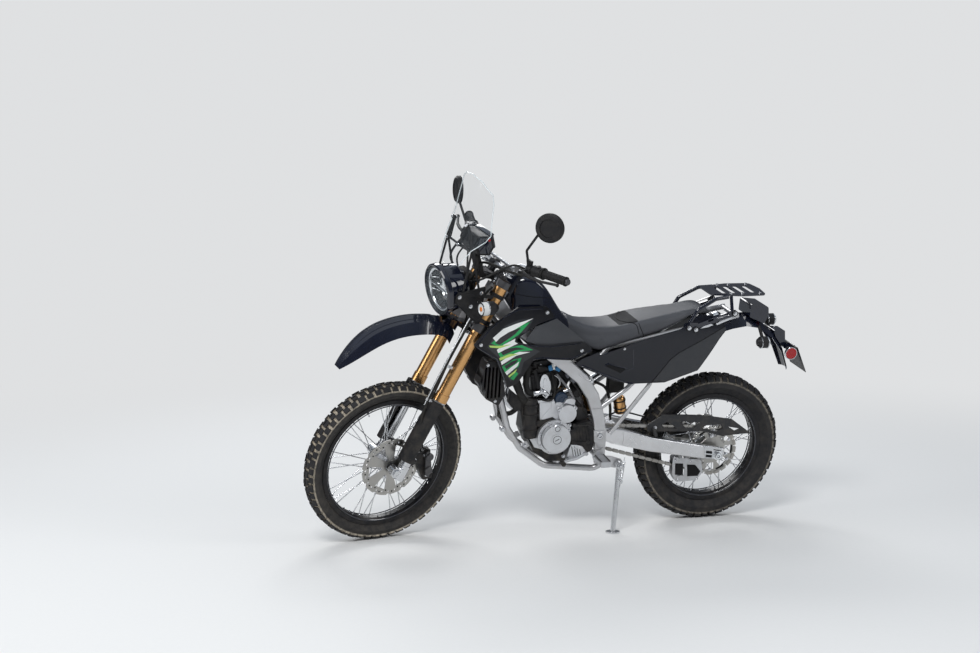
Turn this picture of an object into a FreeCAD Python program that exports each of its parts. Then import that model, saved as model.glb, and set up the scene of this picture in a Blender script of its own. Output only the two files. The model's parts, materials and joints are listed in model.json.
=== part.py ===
import FreeCAD, Part
import math
import os
import re
import Sketcher

# A dual sport motorcycle that leans on its side stand with the bars turned to the left.
# It is drawn upright with straight bars: X forward, Y to the left, Z up, in millimetres.
# The drawing's origin is on the ground under the rear axle.

# Sizes of the motorcycle
SIZES = [
    ("front_tyre_radius", 347, "front tyre, axle to lug tips"),
    ("front_tyre_width", 84, "front tyre over the side lugs"),
    ("front_rim_radius", 280, "front rim, axle to flange"),
    ("front_rim_width", 52, "front rim over the flanges"),
    ("front_lug_height", 10, "front tread lugs"),
    ("rear_tyre_radius", 328, "rear tyre, axle to lug tips"),
    ("rear_tyre_width", 104, "rear tyre over the side lugs"),
    ("rear_rim_radius", 242, "rear rim, axle to flange"),
    ("rear_rim_width", 66, "rear rim over the flanges"),
    ("rear_lug_height", 13, "rear tread lugs"),
    ("rim_depth", 26, "rim, flange to the spoke side of the well"),
    ("rim_wall", 4, "rim wall"),
    ("bead_depth", 12, "rim, flange to bead seat"),
    ("tread_pitches", 19, "repeats of the tread round a tyre"),
    ("spoke_radius", 1.9, "wheel spoke"),
    ("spokes_a_side", 18, "spokes on each side of a hub"),
    ("front_flange_radius", 33, "front hub flange"),
    ("front_flange_reach", 34, "front hub, middle to flange"),
    ("rear_flange_radius", 62, "rear hub flange"),
    ("rear_flange_reach", 31, "rear hub, middle to flange"),
    ("flange_wall", 6, "hub flange"),
    ("hub_waist", 20, "hub barrel radius"),
    ("hub_reach", 52, "hub, middle to bearing face"),
    ("axle_radius", 9, "axle shaft"),
    ("running_gap", 0.3, "gap between a shaft and its bore"),
    ("front_disc_radius", 125, "front brake disc"),
    ("rear_disc_radius", 120, "rear brake disc"),
    ("disc_reach", 59, "wheel middle to brake disc"),
    ("disc_wall", 4, "brake disc"),
    ("disc_band", 30, "width of the braked ring"),
    ("disc_petals", 12, "scallops round a brake disc"),
    ("disc_bolts", 6, "arms and bolts of a brake disc"),
    ("sprocket_teeth", 42, "rear sprocket teeth"),
    ("drive_teeth", 14, "engine sprocket teeth"),
    ("chain_pitch", 15.875, "chain, pin to pin"),
    ("chain_line", 62, "wheel middle to chain"),
    ("sprocket_wall", 6, "sprocket"),
    ("roller_radius", 5.1, "chain roller"),
    ("link_wall", 1.8, "chain link plate"),
    ("swingarm_length", 541, "rear axle to swingarm pivot, level"),
    ("pivot_height", 447, "ground to swingarm pivot"),
    ("head_reach", 490, "swingarm pivot to steering head, level"),
    ("head_rise", 564, "swingarm pivot to steering head, upward"),
    ("rake", 26.5, "steering axis from upright"),
    ("head_length", 150, "steering head tube"),
    ("head_radius", 27, "steering head tube"),
    ("fork_offset", 31, "steering axis to fork tubes"),
    ("axle_lead", 30, "fork tubes to front axle"),
    ("fork_spread", 98, "middle to each fork tube"),
    ("outer_radius", 26, "fork outer tube"),
    ("outer_length", 520, "fork outer tube"),
    ("slider_radius", 21.5, "fork inner tube"),
    ("clamp_wall", 36, "lower fork clamp"),
    ("outer_low", 345, "front axle up the fork to the outer tube"),
    ("bar_radius", 11, "handlebar"),
    ("bar_reach", 395, "middle to bar end"),
    ("bar_bore", 8.5, "bore in the bar's end"),
    ("bar_bore_depth", 60, "bore in the bar's end"),
    ("bar_up", 146, "steering head up to handlebar clamp"),
    ("bar_ahead", 12, "steering axis to handlebar clamp"),
    ("mirror_radius", 57, "mirror"),
    ("lamp_radius", 106, "headlight"),
    ("lamp_tilt", 8, "headlight, nose down"),
    ("screen_wall", 3, "wall of the windshield"),
    ("screen_curve", 200, "windshield, radius of its curve"),
    ("lean", 10.94, "lean to the left on the side stand"),
    ("steer", 14.38, "bars turned to the left"),
    ("stand_radius", 11, "side stand leg"),
]

doc = FreeCAD.newDocument("dual_sport_motorcycle")
sheet = doc.addObject("Spreadsheet::Sheet", "dim")
for row, (name, value, meaning) in enumerate(SIZES, 1):
    sheet.set(f"A{row}", meaning)
    sheet.set(f"B{row}", str(value))
    sheet.setAlias(f"B{row}", name)
doc.recompute()


class Sizes:
    """The sheet's values by name."""

    def __getattr__(self, name):
        return float(sheet.get(name))


size = Sizes()

# Helpers for points and plain shapes


def vec(x, y, z):
    return FreeCAD.Vector(x, y, z)


X_AXIS = vec(1, 0, 0)
Y_AXIS = vec(0, 1, 0)
Z_AXIS = vec(0, 0, 1)


def mirrored(shape):
    """The same shape on the other side of the motorcycle."""
    return shape.mirror(vec(0, 0, 0), Y_AXIS)


def both_sides(*shapes):
    """Pieces of the left side and their twins on the right."""
    solids = []
    for shape in shapes:
        solids += shape.Solids + mirrored(shape).Solids
    return Part.makeCompound(solids)


def rod(start, end, radius):
    return Part.makeCylinder(radius, (end - start).Length, start, end - start)


def bore(start, end, outer, inner):
    return rod(start, end, outer).cut(rod(start, end, inner)).Solids[0]


def box(x_from, x_to, y_from, y_to, z_from, z_to):
    corner = vec(x_from, y_from, z_from)
    return Part.makeBox(x_to - x_from, y_to - y_from, z_to - z_from, corner)


def arc_through(start, middle, end):
    return Part.Arc(start, middle, end).toShape()


def rounded_path(points, bend, closed=False):
    """Straight runs joined by tangent arcs, each as large as its runs allow up to the bend."""
    count = len(points)
    entries, exits, middles = {}, {}, {}
    for index in range(count):
        if not closed and index in (0, count - 1):
            entries[index] = exits[index] = points[index]
            continue
        before, here, after = points[index - 1], points[index], points[(index + 1) % count]
        back, ahead = before - here, after - here
        half_turn = (math.pi - back.getAngle(ahead)) / 2
        if half_turn < 1e-4:
            entries[index] = exits[index] = here
            continue
        room = 0.49 * min(back.Length, ahead.Length)
        setback = min(bend * math.tan(half_turn), room)
        radius = setback / math.tan(half_turn)
        back.normalize()
        ahead.normalize()
        inward = (back + ahead).normalize()
        entries[index] = here + back * setback
        exits[index] = here + ahead * setback
        middles[index] = here + inward * (radius / math.cos(half_turn) - radius)
    edges = []
    for index in range(count):
        if index in middles:
            edges.append(arc_through(entries[index], middles[index], exits[index]))
        follower = (index + 1) % count
        if (closed or follower) and (entries[follower] - exits[index]).Length > 1e-6:
            edges.append(Part.LineSegment(exits[index], entries[follower]).toShape())
    return Part.Wire(edges)


def tube(points, radius, bend):
    """A round bar along straight runs and tangent bends."""
    path = rounded_path(points, bend)
    start = Part.Wire(Part.makeCircle(radius, points[0], points[1] - points[0]))
    return Part.Solid(path.makePipeShell([start], True, True))


def side_prism(outline, y_from, y_to, bend=0.0):
    """A side view outline of X and Z, as thick as the two Y values are apart."""
    points = [vec(x, y_from, z) for x, z in outline]
    if bend:
        wire = rounded_path(points, bend, True)
    else:
        wire = Part.makePolygon(points + points[:1])
    return Part.Face(wire).extrude(vec(0, y_to - y_from, 0))


def front_prism(outline, x_from, x_to, bend=0.0):
    """A front view outline of Y and Z, as deep as the two X values are apart."""
    points = [vec(x_from, y, z) for y, z in outline]
    if bend:
        wire = rounded_path(points, bend, True)
    else:
        wire = Part.makePolygon(points + points[:1])
    return Part.Face(wire).extrude(vec(x_to - x_from, 0, 0))


def top_prism(outline, z_from, z_to, bend=0.0):
    """A plan outline of X and Y, as tall as the two Z values are apart."""
    points = [vec(x, y, z_from) for x, y in outline]
    if bend:
        wire = rounded_path(points, bend, True)
    else:
        wire = Part.makePolygon(points + points[:1])
    return Part.Face(wire).extrude(vec(0, 0, z_to - z_from))


def frame_section(centre, along, across, height, width, bend):
    """A rounded rectangle square to a bar's run; across points along its width."""
    along = vec(*along).normalize()
    across = (across - along * across.dot(along)).normalize()
    up = along.cross(across)
    corners = []
    for side, level in ((-1, -1), (1, -1), (1, 1), (-1, 1)):
        corners.append(centre + across * (side * width / 2) + up * (level * height / 2))
    return rounded_path(corners, bend, True)


def box_bar(stations, bend, across=Y_AXIS):
    """A straight-sided bar through stations of point, height and width."""
    wires = []
    for index, (centre, height, width) in enumerate(stations):
        before = stations[max(index - 1, 0)][0]
        after = stations[min(index + 1, len(stations) - 1)][0]
        wires.append(frame_section(centre, after - before, across, height, width, bend))
    return Part.makeLoft(wires, True, True)


def body_section(x, z_low, z_high, half_low, half_high, bend):
    """A rounded section across the motorcycle with its own widths at the bottom and the top."""
    corners = [
        vec(x, -half_low, z_low),
        vec(x, half_low, z_low),
        vec(x, half_high, z_high),
        vec(x, -half_high, z_high),
    ]
    return rounded_path(corners, bend, True)


def lofted_body(rows, bend):
    """A smooth body through rows of X, low and high Z, and half widths low and high."""
    return Part.makeLoft([body_section(*row, bend) for row in rows], True, False)


def curved_panel(outline, axis_point, axis_run, radius, wall, bend):
    """An outline cut from a sheet that bulges outward as part of a large cylinder."""
    reach = 900
    axis_run = vec(*axis_run).normalize()
    start = axis_point - axis_run * reach
    sheet_shape = Part.makeCylinder(radius, 2 * reach, start, axis_run)
    sheet_shape = sheet_shape.cut(Part.makeCylinder(radius - wall, 2 * reach, start, axis_run))
    return side_prism(outline, 20, 400, bend).common(sheet_shape)


# Points of the drawing: each part is placed from the pivot, the head or an axle


def from_pivot(points):
    """Side view points measured from the swingarm pivot."""
    return [(size.swingarm_length + x, size.pivot_height + z) for x, z in points]


def from_head(points):
    """Side view points measured from the steering head."""
    return [(head_x + x, head_z + z) for x, z in points]


def from_rear_axle(points):
    return [(x, size.rear_tyre_radius + z) for x, z in points]


def from_front_axle(points):
    return [(front_axle.x + x, front_axle.z + z) for x, z in points]


def spots(place, rows):
    """Points with a Y of their own, from one of the reference points."""
    flat = place([(x, z) for x, y, z in rows])
    return [vec(x, y, z) for (x, z), (_, y, _) in zip(flat, rows)]


head_x = size.swingarm_length + size.head_reach
head_z = size.pivot_height + size.head_rise
rake = math.radians(size.rake)
axis_up = vec(-math.sin(rake), 0, math.cos(rake))
axis_ahead = vec(math.cos(rake), 0, math.sin(rake))
head = vec(head_x, 0, head_z)
axle_offset = size.fork_offset + size.axle_lead
axle_drop = (head_z - size.front_tyre_radius + axle_offset * math.sin(rake)) / math.cos(rake)
front_axle = head - axis_up * axle_drop + axis_ahead * axle_offset
rear_axle = vec(0, 0, size.rear_tyre_radius)


def on_fork(up, ahead, y=0.0):
    """A point on the steering axis measured up from the head, ahead of the axis."""
    return head + axis_up * up + axis_ahead * ahead + vec(0, y, 0)


def on_leg(up, ahead=0.0, y=None):
    """A point measured from the front axle's level up along the fork tubes."""
    y = size.fork_spread if y is None else y
    return on_fork(up - axle_drop, size.fork_offset + ahead, y)


# Document objects

finished = []
SIZE_NAMES = {name for name, _, _ in SIZES}


def bound(text):
    """An expression on the sheet's sizes."""
    return re.sub(r"[a-z_]+", lambda word: "dim." * (word[0] in SIZE_NAMES) + word[0], text)


def make_part(label, shape, place):
    """A piece from its own shape."""
    piece = doc.addObject("Part::Feature", label)
    piece.Label = label
    piece.Shape = shape
    piece.Placement = place
    finished.append(piece)
    return piece


def make_body(label, place):
    body = doc.addObject("PartDesign::Body", label)
    body.Label = label
    body.Placement = place
    finished.append(body)
    return body


def base_plane(body, role):
    return [(item, "") for item in body.Origin.OriginFeatures if item.Role == role]


def add_sketch(body, role, lift="0", turn="0"):
    """A sketch parallel to a base plane, lifted and turned about its own upright axis."""
    drawing = body.newObject("Sketcher::SketchObject", "Sketch")
    drawing.AttachmentSupport = base_plane(body, role)
    drawing.MapMode = "FlatFace"
    drawing.AttachmentOffset = FreeCAD.Placement(vec(0, 0, 0), FreeCAD.Rotation(Y_AXIS, 1))
    drawing.setExpression("AttachmentOffset.Base.z", bound(lift))
    drawing.setExpression("AttachmentOffset.Rotation.Angle", bound(turn))
    return drawing


def add_polygon(drawing, corners):
    """A closed outline whose corners are expressions."""
    values = [[float(sheet.evalExpression(text)) for text in corner] for corner in corners]
    points = [vec(across, up, 0) for across, up in values]
    first = drawing.GeometryCount
    count = len(points)
    for index in range(count):
        drawing.addGeometry(Part.LineSegment(points[index], points[(index + 1) % count]))
    for index in range(count):
        follower = first + (index + 1) % count
        drawing.addConstraint(Sketcher.Constraint("Coincident", first + index, 2, follower, 1))
    for index, corner in enumerate(corners):
        for kind, value, text in zip(("DistanceX", "DistanceY"), values[index], corner):
            key = Sketcher.Constraint(kind, -1, 1, first + index, 1, value)
            drawing.setExpression(f"Constraints[{drawing.addConstraint(key)}]", bound(text))


def add_circle(drawing, across, up, radius):
    """A circle whose centre and radius are expressions."""
    x, y, r = (float(sheet.evalExpression(text)) for text in (across, up, radius))
    number = drawing.addGeometry(Part.Circle(vec(x, y, 0), Z_AXIS, r))
    rows = (
        (Sketcher.Constraint("DistanceX", -1, 1, number, 3, x), across),
        (Sketcher.Constraint("DistanceY", -1, 1, number, 3, y), up),
        (Sketcher.Constraint("Radius", number, r), radius),
    )
    for key, text in rows:
        drawing.setExpression(f"Constraints[{drawing.addConstraint(key)}]", bound(text))


def add_revolution(body, corners, kind="Revolution"):
    """A profile of radius and Y turned about the wheel's axle."""
    drawing = add_sketch(body, "XY_Plane")
    add_polygon(drawing, corners)
    feature = body.newObject(f"PartDesign::{kind}", kind)
    feature.Profile = drawing
    feature.ReferenceAxis = (drawing, ["V_Axis"])
    feature.Angle = 360
    return feature


def add_side_feature(body, kind, y_high, thickness):
    """A pad or pocket from a side view drawing; it runs from y_high toward the right."""
    drawing = add_sketch(body, "XZ_Plane", f"-({y_high})")
    feature = body.newObject(f"PartDesign::{kind}", kind)
    feature.Profile = drawing
    feature.setExpression("Length", bound(thickness))
    feature.Reversed = kind == "Pocket"
    return drawing, feature


def add_ring_pattern(body, features, count):
    """Copies of the features evenly round the axle."""
    pattern = body.newObject("PartDesign::PolarPattern", "PolarPattern")
    pattern.Originals = features
    axis = [item for item in body.Origin.OriginFeatures if item.Role == "Y_Axis"][0]
    pattern.Axis = (axis, [""])
    pattern.Angle = 360
    pattern.setExpression("Occurrences", bound(count))
    body.Tip = pattern
    return pattern

# Tyres: one pitch of the tread is modelled and repeated round the wheel


def turned(point, angle):
    """A point turned about the wheel's axle by an angle in degrees."""
    return FreeCAD.Rotation(Y_AXIS, angle).multVec(point)


def flat_wedge(outline, first, last):
    """The part of a faceted ring between two angles, its outline in the wheel's radius and Y."""
    starts = [turned(vec(r, y, 0), first) for r, y in outline]
    ends = [turned(vec(r, y, 0), last) for r, y in outline]
    walls = []
    for index, start in enumerate(starts):
        after = (index + 1) % len(starts)
        walls.append(Part.makePolygon([start, starts[after], ends[after], ends[index], start]))
    walls += [Part.makePolygon(ring + ring[:1]) for ring in (starts, ends)]
    return Part.Solid(Part.makeShell([Part.Face(wall) for wall in walls]))


def tyre(radius, width, rim_radius, rim_width, lug_height, lugs):
    """A faceted tyre; lugs are rows of phase, length, and low and high Y as shares of the width."""
    pitch = 360 / size.tread_pitches
    base = (radius - lug_height) / math.cos(math.radians(pitch / 4))
    bead = rim_radius - size.bead_depth + size.running_gap
    bead = bead / math.cos(math.radians(pitch / 4))
    inside = rim_width / 2 - size.rim_wall - size.running_gap
    half = width / 2 - lug_height * 0.3
    crown = [
        (bead, inside),
        (rim_radius + 2, inside),
        (rim_radius + 0.45 * (base - rim_radius), half),
        (base - 0.34 * half, half * 0.94),
        (base - 0.10 * half, half * 0.62),
    ]
    outline = crown + [(base, 0)] + [(r, -y) for r, y in reversed(crown)]

    def base_at(y):
        """The radius of the tread's base at a distance from the middle."""
        rows = [(base, 0)] + crown[:2:-1]
        for (inner_r, inner_y), (outer_r, outer_y) in zip(rows, rows[1:]):
            if y <= outer_y:
                return inner_r + (outer_r - inner_r) * (y - inner_y) / (outer_y - inner_y)
        return rows[-1][0]

    wedges = []
    for first in (-0.25, 0.25):
        wedges.append(flat_wedge(outline, pitch * first, pitch * (first + 0.5)))
    sector = wedges[0].fuse(wedges[1])
    for phase, length, low, high in lugs:
        low, high = low * width / 2, high * width / 2
        tip_low = base_at(low) + lug_height
        tip_high = base_at(high) + lug_height * 0.85
        root = base_at(high) - lug_height * 0.6
        for side in (1, -1):
            lug = [(root, low), (tip_low, low + 1), (tip_high, high), (root, high * 0.9)]
            corners = [vec(r, side * y, -length / 2) for r, y in lug]
            block = Part.Face(Part.makePolygon(corners + corners[:1]))
            block = block.extrude(vec(0, 0, length))
            block.rotate(vec(0, 0, 0), Y_AXIS, pitch * phase)
            sector = sector.fuse(block)
    outer_faces = []
    for face in sector.removeSplitter().Faces:
        middle = face.CenterOfMass
        angle = math.degrees(math.atan2(-middle.z, middle.x)) / pitch
        if min(abs(angle + 0.25), abs(angle - 0.75)) > 1e-4:
            outer_faces.append(face)
    ring = []
    for index in range(int(size.tread_pitches)):
        for face in outer_faces:
            ring.append(face.rotated(vec(0, 0, 0), Y_AXIS, index * pitch))
    shell = Part.makeShell(ring)
    shell.sewShape()
    return Part.Solid(shell)

# The way it stands: both tyres and the stand's foot on the ground

FRONT_LUGS = [
    # phase in the pitch, length, low and high share of the half width
    (0.0, 28, 0.06, 0.40),
    (0.5, 30, 0.50, 0.97),
]
REAR_LUGS = [
    (0.0, 26, 0.04, 0.36),
    (0.5, 28, 0.46, 0.95),
]
front_tyre_shape = tyre(
    size.front_tyre_radius,
    size.front_tyre_width,
    size.front_rim_radius,
    size.front_rim_width,
    size.front_lug_height,
    FRONT_LUGS,
)
rear_tyre_shape = tyre(
    size.rear_tyre_radius,
    size.rear_tyre_width,
    size.rear_rim_radius,
    size.rear_rim_width,
    size.rear_lug_height,
    REAR_LUGS,
)


def pose(lift, pitch):
    tilt = FreeCAD.Rotation(X_AXIS, -size.lean).multiply(FreeCAD.Rotation(Y_AXIS, pitch))
    return FreeCAD.Placement(vec(0, 0, lift), tilt)


def lowest(shape, place):
    return min(place.multVec(corner.Point).z for corner in shape.Vertexes)


steer_turn = FreeCAD.Placement(vec(0, 0, 0), FreeCAD.Rotation(axis_up, size.steer), head)
front_wheel_spot = FreeCAD.Placement(front_axle, FreeCAD.Rotation())
rear_wheel_spot = FreeCAD.Placement(rear_axle, FreeCAD.Rotation())
pitch = 0.0
for step in range(4):
    trial = pose(0, pitch)
    front_low = lowest(front_tyre_shape, trial * steer_turn * front_wheel_spot)
    rear_low = lowest(rear_tyre_shape, trial * rear_wheel_spot)
    pitch += math.degrees(math.atan2(front_low - rear_low, front_axle.x))
chassis = pose(-rear_low, pitch)
steered = chassis * steer_turn
front_wheel = steered * front_wheel_spot
rear_wheel = chassis * rear_wheel_spot
ground_up = chassis.Rotation.inverted().multVec(Z_AXIS)
ground_spot = chassis.inverse().multVec(vec(0, 0, 0))


def height_over_ground(point):
    """How far a point of the upright drawing stands over the ground."""
    return (point - ground_spot).dot(ground_up)


# Wheels

make_part("front_tyre", front_tyre_shape, front_wheel)
make_part("rear_tyre", rear_tyre_shape, rear_wheel)


def make_rim(label, place, radius, width):
    """A rim with flanges, bead seats and a well, turned about the axle."""
    body = make_body(label, place)
    half = f"{width} / 2"
    seat = f"{radius} - bead_depth"
    well = f"{radius} - rim_depth + rim_wall"
    profile = [
        (f"{radius} - rim_depth", f"-{half} * 0.45"),
        (f"{radius} - bead_depth - rim_wall", f"-{half} * 0.8"),
        (f"{radius} - bead_depth - rim_wall", f"-{half}"),
        (radius, f"-{half}"),
        (radius, f"rim_wall - {half}"),
        (seat, f"rim_wall - {half}"),
        (seat, f"-{half} * 0.7"),
        (well, f"-{half} * 0.4"),
        (well, f"{half} * 0.4"),
        (seat, f"{half} * 0.7"),
        (seat, f"{half} - rim_wall"),
        (radius, f"{half} - rim_wall"),
        (radius, half),
        (f"{radius} - bead_depth - rim_wall", half),
        (f"{radius} - bead_depth - rim_wall", f"{half} * 0.8"),
        (f"{radius} - rim_depth", f"{half} * 0.45"),
    ]
    add_revolution(body, profile)


make_rim("front_rim", front_wheel, "front_rim_radius", "front_rim_width")
make_rim("rear_rim", rear_wheel, "rear_rim_radius", "rear_rim_width")


def make_hub(label, place, flange_radius, flange_reach, seat_radius):
    """A barrel with two spoke flanges and a seat for the disc."""
    body = make_body(label, place)
    profile = [
        ("axle_radius + running_gap", "-hub_reach"),
        ("hub_waist", "-hub_reach"),
        ("hub_waist", f"-{flange_reach} - flange_wall"),
        (seat_radius, f"-{flange_reach} - flange_wall"),
        (flange_radius, f"-{flange_reach} - flange_wall / 2"),
        (flange_radius, f"-{flange_reach} + flange_wall / 2"),
        ("hub_waist", f"-{flange_reach} + flange_wall * 1.5"),
        ("hub_waist", f"{flange_reach} - flange_wall * 1.5"),
        (flange_radius, f"{flange_reach} - flange_wall / 2"),
        (flange_radius, f"{flange_reach} + flange_wall / 2"),
        (seat_radius, f"{flange_reach} + flange_wall"),
        ("hub_waist", f"{flange_reach} + flange_wall"),
        ("hub_waist", "hub_reach"),
        ("axle_radius + running_gap", "hub_reach"),
    ]
    add_revolution(body, profile)


make_hub("front_hub", front_wheel, "front_flange_radius", "front_flange_reach", "hub_waist + 8")
make_hub("rear_hub", rear_wheel, "rear_flange_radius", "rear_flange_reach", "hub_waist + 16")


def wheel_point(radius, angle, y):
    return turned(vec(radius, y, 0), angle)


def make_spokes(label, place, rim_radius, flange_radius, flange_reach):
    """Crossed spokes from the flanges to the rim's well."""
    count = int(size.spokes_a_side)
    step = 360 / count
    rim_end = rim_radius - size.rim_depth + size.rim_wall / 2
    wires = []
    for side in (1, -1):
        for index in range(count):
            lead = 55 if index % 2 else -55
            hub_angle = step * (index + side * 0.25)
            start = wheel_point(flange_radius - 3, hub_angle + lead, side * flange_reach)
            rim_angle = hub_angle + lead * 0.12
            end = wheel_point(rim_end, rim_angle, side * 4)
            wires.append(rod(start, end, size.spoke_radius))
    make_part(label, Part.makeCompound(wires), place)


make_spokes(
    "front_spokes",
    front_wheel,
    size.front_rim_radius,
    size.front_flange_radius,
    size.front_flange_reach,
)
make_spokes(
    "rear_spokes",
    rear_wheel,
    size.rear_rim_radius,
    size.rear_flange_radius,
    size.rear_flange_reach,
)


def make_disc(label, place, radius, side, flange_reach):
    """A scalloped brake disc on an open carrier, bolted to the hub's seat."""
    body = make_body(label, place)
    reach = f"{side} * disc_reach"
    drawing, ring = add_side_feature(body, "Pad", f"{reach} + disc_wall / 2", "disc_wall")
    add_circle(drawing, "0", "0", radius)
    doc.recompute()
    deep = "disc_wall + 4"
    drawing, scallop = add_side_feature(body, "Pocket", f"{reach} + disc_wall / 2 + 2", deep)
    add_circle(drawing, f"{radius} + 5", "0", "11")
    doc.recompute()
    scallops = add_ring_pattern(body, [scallop], "disc_petals")
    doc.recompute()
    drawing, window = add_side_feature(body, "Pocket", f"{reach} + disc_wall / 2 + 2", deep)
    inner, outer = "hub_waist + 22", f"{radius} - disc_band"
    corners = [
        (inner, "-9"),
        (outer, "-0.36 * (" + outer + ")"),
        (outer, "0.18 * (" + outer + ")"),
        (inner, "6"),
    ]
    add_polygon(drawing, corners)
    doc.recompute()
    windows = add_ring_pattern(body, [window], "disc_bolts")
    doc.recompute()
    drawing, hole = add_side_feature(body, "Pocket", f"{reach} + disc_wall / 2 + 2", deep)
    add_circle(drawing, "0", "0", "hub_waist + running_gap")
    doc.recompute()
    drawing, dot = add_side_feature(body, "Pocket", f"{reach} + disc_wall / 2 + 2", deep)
    add_circle(drawing, f"{radius} - disc_band / 2", "0", "4")
    doc.recompute()
    add_ring_pattern(body, [dot], "disc_petals * 2")
    doc.recompute()
    seat = f"disc_reach - {flange_reach} - flange_wall - disc_wall / 2"
    top = f"{reach} - disc_wall / 2" if side > 0 else f"{reach} + disc_wall / 2 + {seat}"
    drawing, boss = add_side_feature(body, "Pad", top, seat)
    add_circle(drawing, "0", "0", "hub_waist + 7")
    add_circle(drawing, "0", "0", "hub_waist + running_gap")
    doc.recompute()


make_disc("front_disc", front_wheel, "front_disc_radius", 1, "front_flange_reach")
make_disc("rear_disc", rear_wheel, "rear_disc_radius", -1, "rear_flange_reach")

sprocket = make_body("rear_sprocket", rear_wheel)
pitch_circle = "chain_pitch / (2 * sin(180 / sprocket_teeth))"
drawing, blank = add_side_feature(sprocket, "Pad", "chain_line + sprocket_wall / 2", "sprocket_wall")
add_circle(drawing, "0", "0", f"{pitch_circle} + roller_radius * 0.8")
doc.recompute()
through = ("Pocket", "chain_line + sprocket_wall / 2 + 2", "sprocket_wall + 4")
drawing, gap = add_side_feature(sprocket, *through)
add_circle(drawing, pitch_circle, "0", "roller_radius")
doc.recompute()
add_ring_pattern(sprocket, [gap], "sprocket_teeth")
doc.recompute()
drawing, slot = add_side_feature(sprocket, *through)
slot_inner = "rear_flange_radius - 4"
slot_outer = f"{pitch_circle} - roller_radius * 3.2"
slot_corners = [
    (slot_inner, "-17"),
    (slot_outer, "-21"),
    (slot_outer, "21"),
    (slot_inner, "17"),
]
add_polygon(drawing, slot_corners)
doc.recompute()
add_ring_pattern(sprocket, [slot], "8")
doc.recompute()
drawing, hole = add_side_feature(sprocket, *through)
add_circle(drawing, "0", "0", "hub_waist + running_gap")
doc.recompute()
carrier_gap = "chain_line - rear_flange_reach - flange_wall - sprocket_wall / 2"
drawing, boss = add_side_feature(sprocket, "Pad", "chain_line - sprocket_wall / 2", carrier_gap)
add_circle(drawing, "0", "0", "hub_waist + 15")
add_circle(drawing, "0", "0", "hub_waist + running_gap")
doc.recompute()

# Front fork and bars, which turn with the steering

slider_top = size.outer_low + 30
outer_top = size.outer_low + size.outer_length
inner_tube = rod(on_leg(-4), on_leg(slider_top), size.slider_radius)
lug_block = rod(on_leg(-26), on_leg(40), size.slider_radius + 3)
eye = rod(
    vec(front_axle.x, size.fork_spread - 20, front_axle.z),
    vec(front_axle.x, size.fork_spread + 18, front_axle.z),
    22,
)
left_leg = inner_tube.fuse([lug_block, eye])
axle_shaft = rod(
    vec(front_axle.x, -size.fork_spread - 24, front_axle.z),
    vec(front_axle.x, size.fork_spread + 24, front_axle.z),
    size.axle_radius,
)
lower_fork = left_leg.fuse([mirrored(left_leg), axle_shaft])
collar = rod(
    vec(front_axle.x, size.hub_reach + 1, front_axle.z),
    vec(front_axle.x, size.fork_spread - 19, front_axle.z),
    size.axle_radius + 6,
)
lower_fork = lower_fork.fuse([collar, mirrored(collar)])
make_part("fork_sliders", lower_fork, steered)

outer_tube = bore(
    on_leg(size.outer_low),
    on_leg(outer_top),
    size.outer_radius,
    size.slider_radius + 0.2,
)
seal = bore(
    on_leg(size.outer_low - 8),
    on_leg(size.outer_low + 26),
    size.outer_radius + 3,
    size.slider_radius + 0.2,
)
cap = rod(on_leg(outer_top - 2), on_leg(outer_top + 10), size.outer_radius - 3)
outer_tube = outer_tube.fuse([seal, cap])
make_part("fork_tubes", both_sides(outer_tube), steered)


def clamp(low, high, back, wide):
    """A fork clamp across both tubes, square to the steering axis, with its tube holes cut."""
    reach = size.fork_spread
    grip = size.outer_radius + wide
    outline = [
        (-back, 0),
        (-back, 30),
        (-10, 55),
        (size.fork_offset - grip, reach - 12),
        (size.fork_offset - 12, reach + grip),
        (size.fork_offset + 12, reach + grip),
        (size.fork_offset + grip, reach - 4),
        (size.fork_offset + 10, 45),
        (size.fork_offset - 2, 0),
    ]
    outline += [(ahead, -y) for ahead, y in reversed(outline[1:-1])]
    corners = [on_fork(low, ahead, y) for ahead, y in outline]
    block = Part.Face(rounded_path(corners, 14, True)).extrude(axis_up * (high - low))
    for side in (1, -1):
        centre = size.fork_offset
        hole = rod(
            on_fork(low - 5, centre, side * reach),
            on_fork(high + 5, centre, side * reach),
            size.outer_radius,
        )
        block = block.cut(hole)
    return block


half_head = size.head_length / 2
lower_clamp = clamp(-half_head - 4 - size.clamp_wall, -half_head - 4, 26, 10)
upper_clamp = clamp(half_head + 10, half_head + 10 + size.clamp_wall * 0.8, 30, 8)
stem = rod(on_fork(-half_head - 10, 0), on_fork(half_head + 44, 0), 14)
stem_nut = rod(on_fork(half_head + 36, 0), on_fork(half_head + 48, 0), 19)
clamps = lower_clamp.fuse([upper_clamp, stem, stem_nut])
for side in (1, -1):
    post = rod(
        on_fork(half_head + 30, size.bar_ahead, side * 48),
        on_fork(size.bar_up + 6, size.bar_ahead, side * 48),
        17,
    )
    block = rod(
        on_fork(size.bar_up, size.bar_ahead, side * 36),
        on_fork(size.bar_up, size.bar_ahead, side * 60),
        size.bar_radius + 11,
    )
    clamps = clamps.fuse([post, block])
bar_hole = rod(
    on_fork(size.bar_up, size.bar_ahead, -70),
    on_fork(size.bar_up, size.bar_ahead, 70),
    size.bar_radius,
)
make_part("triple_clamps", clamps.cut(bar_hole), steered)


def bar_points(rows):
    """Points of the handlebar from its clamp: ahead, Y and up."""
    centre = on_fork(size.bar_up, size.bar_ahead)
    return [centre + vec(x, y, z) for x, y, z in rows]


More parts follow.
